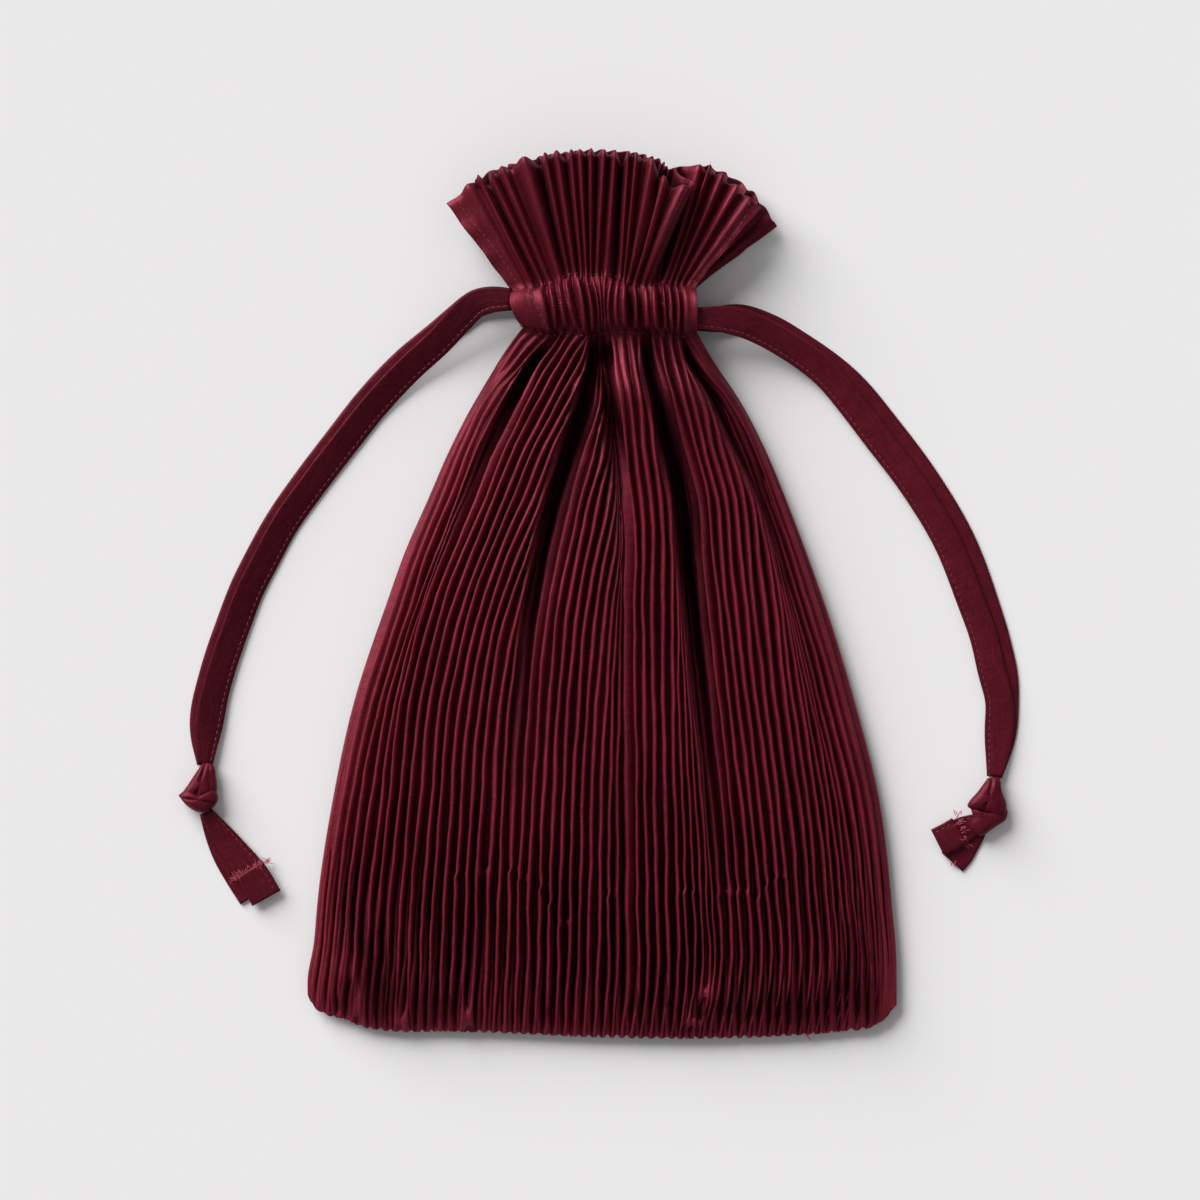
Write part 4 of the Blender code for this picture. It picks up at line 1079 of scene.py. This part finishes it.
def make_panel(name, front, seed, node):
    """A whole panel: body, casing, frill, and the inner layer that is turned down from the frill's top."""
    spans = [np.linspace(start, end, rows + 1)[:-1] - NECK_LEVEL for start, end, rows in ROW_SPANS]
    rounding = 1 - np.sin(np.linspace(0, math.pi / 2, BOTTOM_ROWS))
    levels = -np.concatenate([*spans, -BOTTOM_LEVEL - BOTTOM_SPAN * rounding])
    body, sunk_and_painted_shade = body_grid(levels, front, seed)
    body = body[::-1]
    sunk_and_painted_shade = sunk_and_painted_shade[::-1]
    rows_y = levels[::-1]
    first = len(body)
    edge = ease(from_edge / 0.8) * (0.35 + 0.65 * ease((from_edge - 0.5) / 3.5))
    pitch = np.abs(np.gradient(body[..., 0], phase, axis=1))
    height = level_value(PLEAT_HEIGHTS, rows_y)[:, None] * np.clip(pitch / 2.8, 0.1, 1.0) ** 1.1 * edge
    height = height * by_pleat(PLEAT_VARIETY)
    if front:
        for place, wide, long, fade, lift in PATCHES:
            height = height * (1 - fade * bump_at(body[..., 0], body[..., 1], place, wide, long))
    else:
        height = height * 0.9
    casing, casing_fold, casing_depth = casing_grid(np.linspace(0, 1, CASING_ROWS)[1:-1], front, False)
    frill, frill_fold, frill_depth, hollow = frill_grid(np.linspace(0, 1, FRILL_ROWS), front)
    rise = np.linspace(0, 1, len(frill))[:, None]
    frill_depth = frill_depth * (0.40 + 0.60 * rise**0.7)
    if not front:
        casing_depth = casing_depth * 0.25
    outer = np.concatenate([body, casing, frill])
    facing = normals(outer)
    if not front:
        facing = -facing
        facing[..., 2] = np.minimum(facing[..., 2], -0.4)
    facing[-len(frill):] += unit(frill[-1] - frill[0]) * 0.30 * (rise**3)[..., None]
    facing = unit(facing)
    # Painted shade: where the cloth has no room for a pleat's full height, its painted shade is raised, at most by
    # MOST_GAIN
    painted_shade_gain = np.ones(outer.shape[:2])
    if front:
        room = np.maximum(body[..., 2] - LEAST_HEIGHT / 2, 0.2)
        room = room / np.maximum(facing[:first, :, 2], 0.15)
        painted_shade_gain[:first] = np.clip(height / room, 1.0, MOST_GAIN)
        height = np.minimum(height, room)

    def by_part(values, place):
        """A value by level on the body, and one value each on the casing and the frill."""
        level = level_value(values, rows_y)[:, None] * np.ones_like(body[..., 0])
        return np.concatenate([level, CASING_PRESS[place] * np.ones_like(casing_fold),
                               FRILL_PRESS[place] * np.ones_like(frill_fold)])

    # Painted shade on the frill, strongest in the hollow under its lobe
    frill_painted_shade = FRILL_SHADE + hollow * np.sin(math.pi * (0.15 + 0.7 * rise))
    layers = {
        "fold": np.concatenate([np.tile(phase, (first, 1)), casing_fold, frill_fold]),
        "height": np.concatenate([height, casing_depth * CASING_PRESS[0], frill_depth * FRILL_PRESS[0]]),
        "breadth": by_part(PLEAT_BREADTHS, 1),
        "crest": by_part(PLEAT_CRESTS, 2),
        "painted_shade_gain": painted_shade_gain,
        "sunk_and_painted_shade": np.concatenate([sunk_and_painted_shade, CASING_SHADE + 0 * casing_fold, frill_painted_shade]),
    }
    # the cloth turns over the frill's top and runs down inside to the lower stitches
    picks = [first + len(casing) + int(round(share * (len(frill) - 1))) for share in FRILL_LINING]
    over = outer[-1] + unit(outer[-1] - outer[-2]) * 0.35 - facing[-1] * LINING_GAP / 2
    lining = casing_grid(CASING_LINING, front, True)[0]
    lining[..., 2] -= LINING_GAP if front else -LINING_GAP
    grid = np.concatenate([outer, over[None], outer[picks] - facing[picks] * LINING_GAP, lining])
    inner_rows = [len(outer) - 1] + picks + [first + 2] * len(lining)
    facing = np.concatenate([facing, facing[inner_rows]])
    for label, values in layers.items():
        layers[label] = np.concatenate([values, values[inner_rows]])
    layers["height"][-len(lining):] *= 0.5
    # Painted shade on the layer turned down inside
    layers["sunk_and_painted_shade"][len(outer):] += LINING_SHADE
    rows, columns = grid.shape[:2]
    along = lengths(grid[:, columns // 2]) * MM
    corner = np.arange(rows * columns).reshape(rows, columns)
    quads = [corner[:-1, :-1], corner[:-1, 1:], corner[1:, 1:], corner[1:, :-1]]
    quads = np.stack(quads if front else quads[::-1], axis=-1).reshape(-1, 4)
    uvs = np.stack([np.tile(phase * PLEAT_CLOTH, rows)[quads], np.repeat(along, columns)[quads]], axis=-1)
    piece = add_piece(name, grid.reshape(-1, 3) * MM, quads.tolist(), uvs, body_satin)
    layers["height"] = layers["height"] * MM
    layers["sunk_and_painted_shade"] = layers["sunk_and_painted_shade"] * MM
    layers["press"] = facing
    for label, values in layers.items():
        store(piece.data, label, values)
    add_tree(piece, pressing, {
        "Pleat height": 1.0, "Roundness": PLEAT_ROUNDNESS, "Shade depth": SHADE_DEPTH, "Cloth": body_satin})
    wall = piece.modifiers.new("wall", "SOLIDIFY")
    wall.thickness = CLOTH_THICKNESS
    wall.offset = -1.0
    bake_piece(piece)
    for label in layers:
        if label in piece.data.attributes:
            piece.data.attributes.remove(piece.data.attributes[label])
    mount(piece, node)
    return piece


body_satin = satin("body_satin", SATIN_COLOUR, SATIN_SHADE, SATIN_GLOSS)
pressing = press_tree()
front_cloth = make_panel("front_cloth", True, 3, "front_panel")

# Stitches on the front: two rows round the casing and a row along each hem of the frill
LEFT_HEM_STITCHES = ((-48.7, 134.5), (-47.0, 130.3), (-43.4, 125.5), (-39.4, 120.9), (-34.1, 113.7), (-29.5, 106.4))
RIGHT_HEM_STITCHES = ((49.5, 131.9), (48.1, 127.8), (45.6, 123.5), (41.7, 118.3), (37.6, 113.3), (31.1, 106.1))
LEFT_END_STITCHES = ((-25.0, 102.7), (-23.3, 99.3), (-20.9, 94.9), (-18.5, 90.1))
# The loose thread at the bottom seam: its middle in millimetres, and the way it points
LOOSE_THREAD = ((69.7, -149.9, 3.0), (5.0, -6.5, -2.0))
LOOSE_THREAD_LENGTH = 3.6 * MM
LOOSE_THREAD_WIDTH = 0.5 * MM
cloth_surface = BVHTree.FromPolygons([v.co[:] for v in front_cloth.data.vertices],
                                     [p.vertices[:] for p in front_cloth.data.polygons])


def on_cloth(name, rows):
    """Stitches along rows in plan, in millimetres, laid on the front cloth."""
    centres = []
    ahead = []
    for row in rows:
        line = along_route([(x * MM, y * MM, 0.0) for x, y in row], STITCH_PITCH)[0]
        hits = [cloth_surface.ray_cast((x, y, 0.06), (0.0, 0.0, -1.0))[0] for x, y, z in line]
        laid = np.array([hit[:] for hit in hits if hit is not None])
        centres.append(laid)
        ahead.append(np.gradient(laid, axis=0))
    return sew(name, np.concatenate(centres), np.concatenate(ahead))


casing_stitches = on_cloth("casing_stitches", (UPPER_STITCHES, LOWER_STITCHES, LEFT_END_STITCHES))
hem_stitches = on_cloth("hem_stitches", (LEFT_HEM_STITCHES, RIGHT_HEM_STITCHES))
thread_end = sew("seam_thread_end", [np.array(LOOSE_THREAD[0]) * MM], [LOOSE_THREAD[1]],
                 LOOSE_THREAD_LENGTH, LOOSE_THREAD_WIDTH, fibre)


# ---------------------------------------------------------------- Back panel
# The back is the same cut of pleated satin. It lies pressed flat on the table, and its frill spreads
# wider than the front's on the right.
back_cloth = make_panel("back_cloth", False, 5, "back_panel")


# ---------------------------------------------------------------- Drawstrings inside the casings
# Each tape goes through the front casing, turns close round the far slit and comes back through the back
# casing. These stretches are drawn together by the gathers and show only in the casings' mouths.
RUN_WIDTH = 5.0 * MM
RUN_THICKNESS = 0.7 * MM
UPPER_RUN = ((30, 11.3), (20, 11.5), (8, 11.9), (-8, 11.9), (-20, 11.5))
LOWER_RUN = ((-20, 2.4), (0, 2.4), (20, 2.4), (30, 2.4))
# The turn at the far slit: how far each point is from the turn's end, and its height
RUN_TURN = ((3.2, 11.3), (0.9, 10.6), (0.1, 9), (0, 7.2), (0.1, 5), (0.9, 3.2), (3.6, 2.4))


def lay_run(name, route, node):
    """A flat tape in a casing, whose width lies along the pouch all the way round its turn."""
    points, reach = along_route(np.asarray(route) * MM, TAPE_STEP)
    across = np.array([0.0, 1.0, 0.0])
    up = np.cross(across, unit(np.gradient(points, axis=0)))
    rows = [points + across * (a * RUN_WIDTH / 2) + up * (h * RUN_THICKNESS) for a, h in TAPE_SECTION]
    ring = np.array([row[0] for row in rows + rows[:1]])
    close_tape(name, rows, reach, lengths(ring), True, node)


for name, side, lane, end, node in (
    ("left_drawstring_run", -1, 100.1, 31.6, "left_drawstring"),
    ("right_drawstring_run", 1, 93.4, 27.6, "right_drawstring"),
):
    route = UPPER_RUN + tuple((away - end, z) for away, z in RUN_TURN) + LOWER_RUN
    lay_run(name, [(side * x, lane, z) for x, z in route], node)
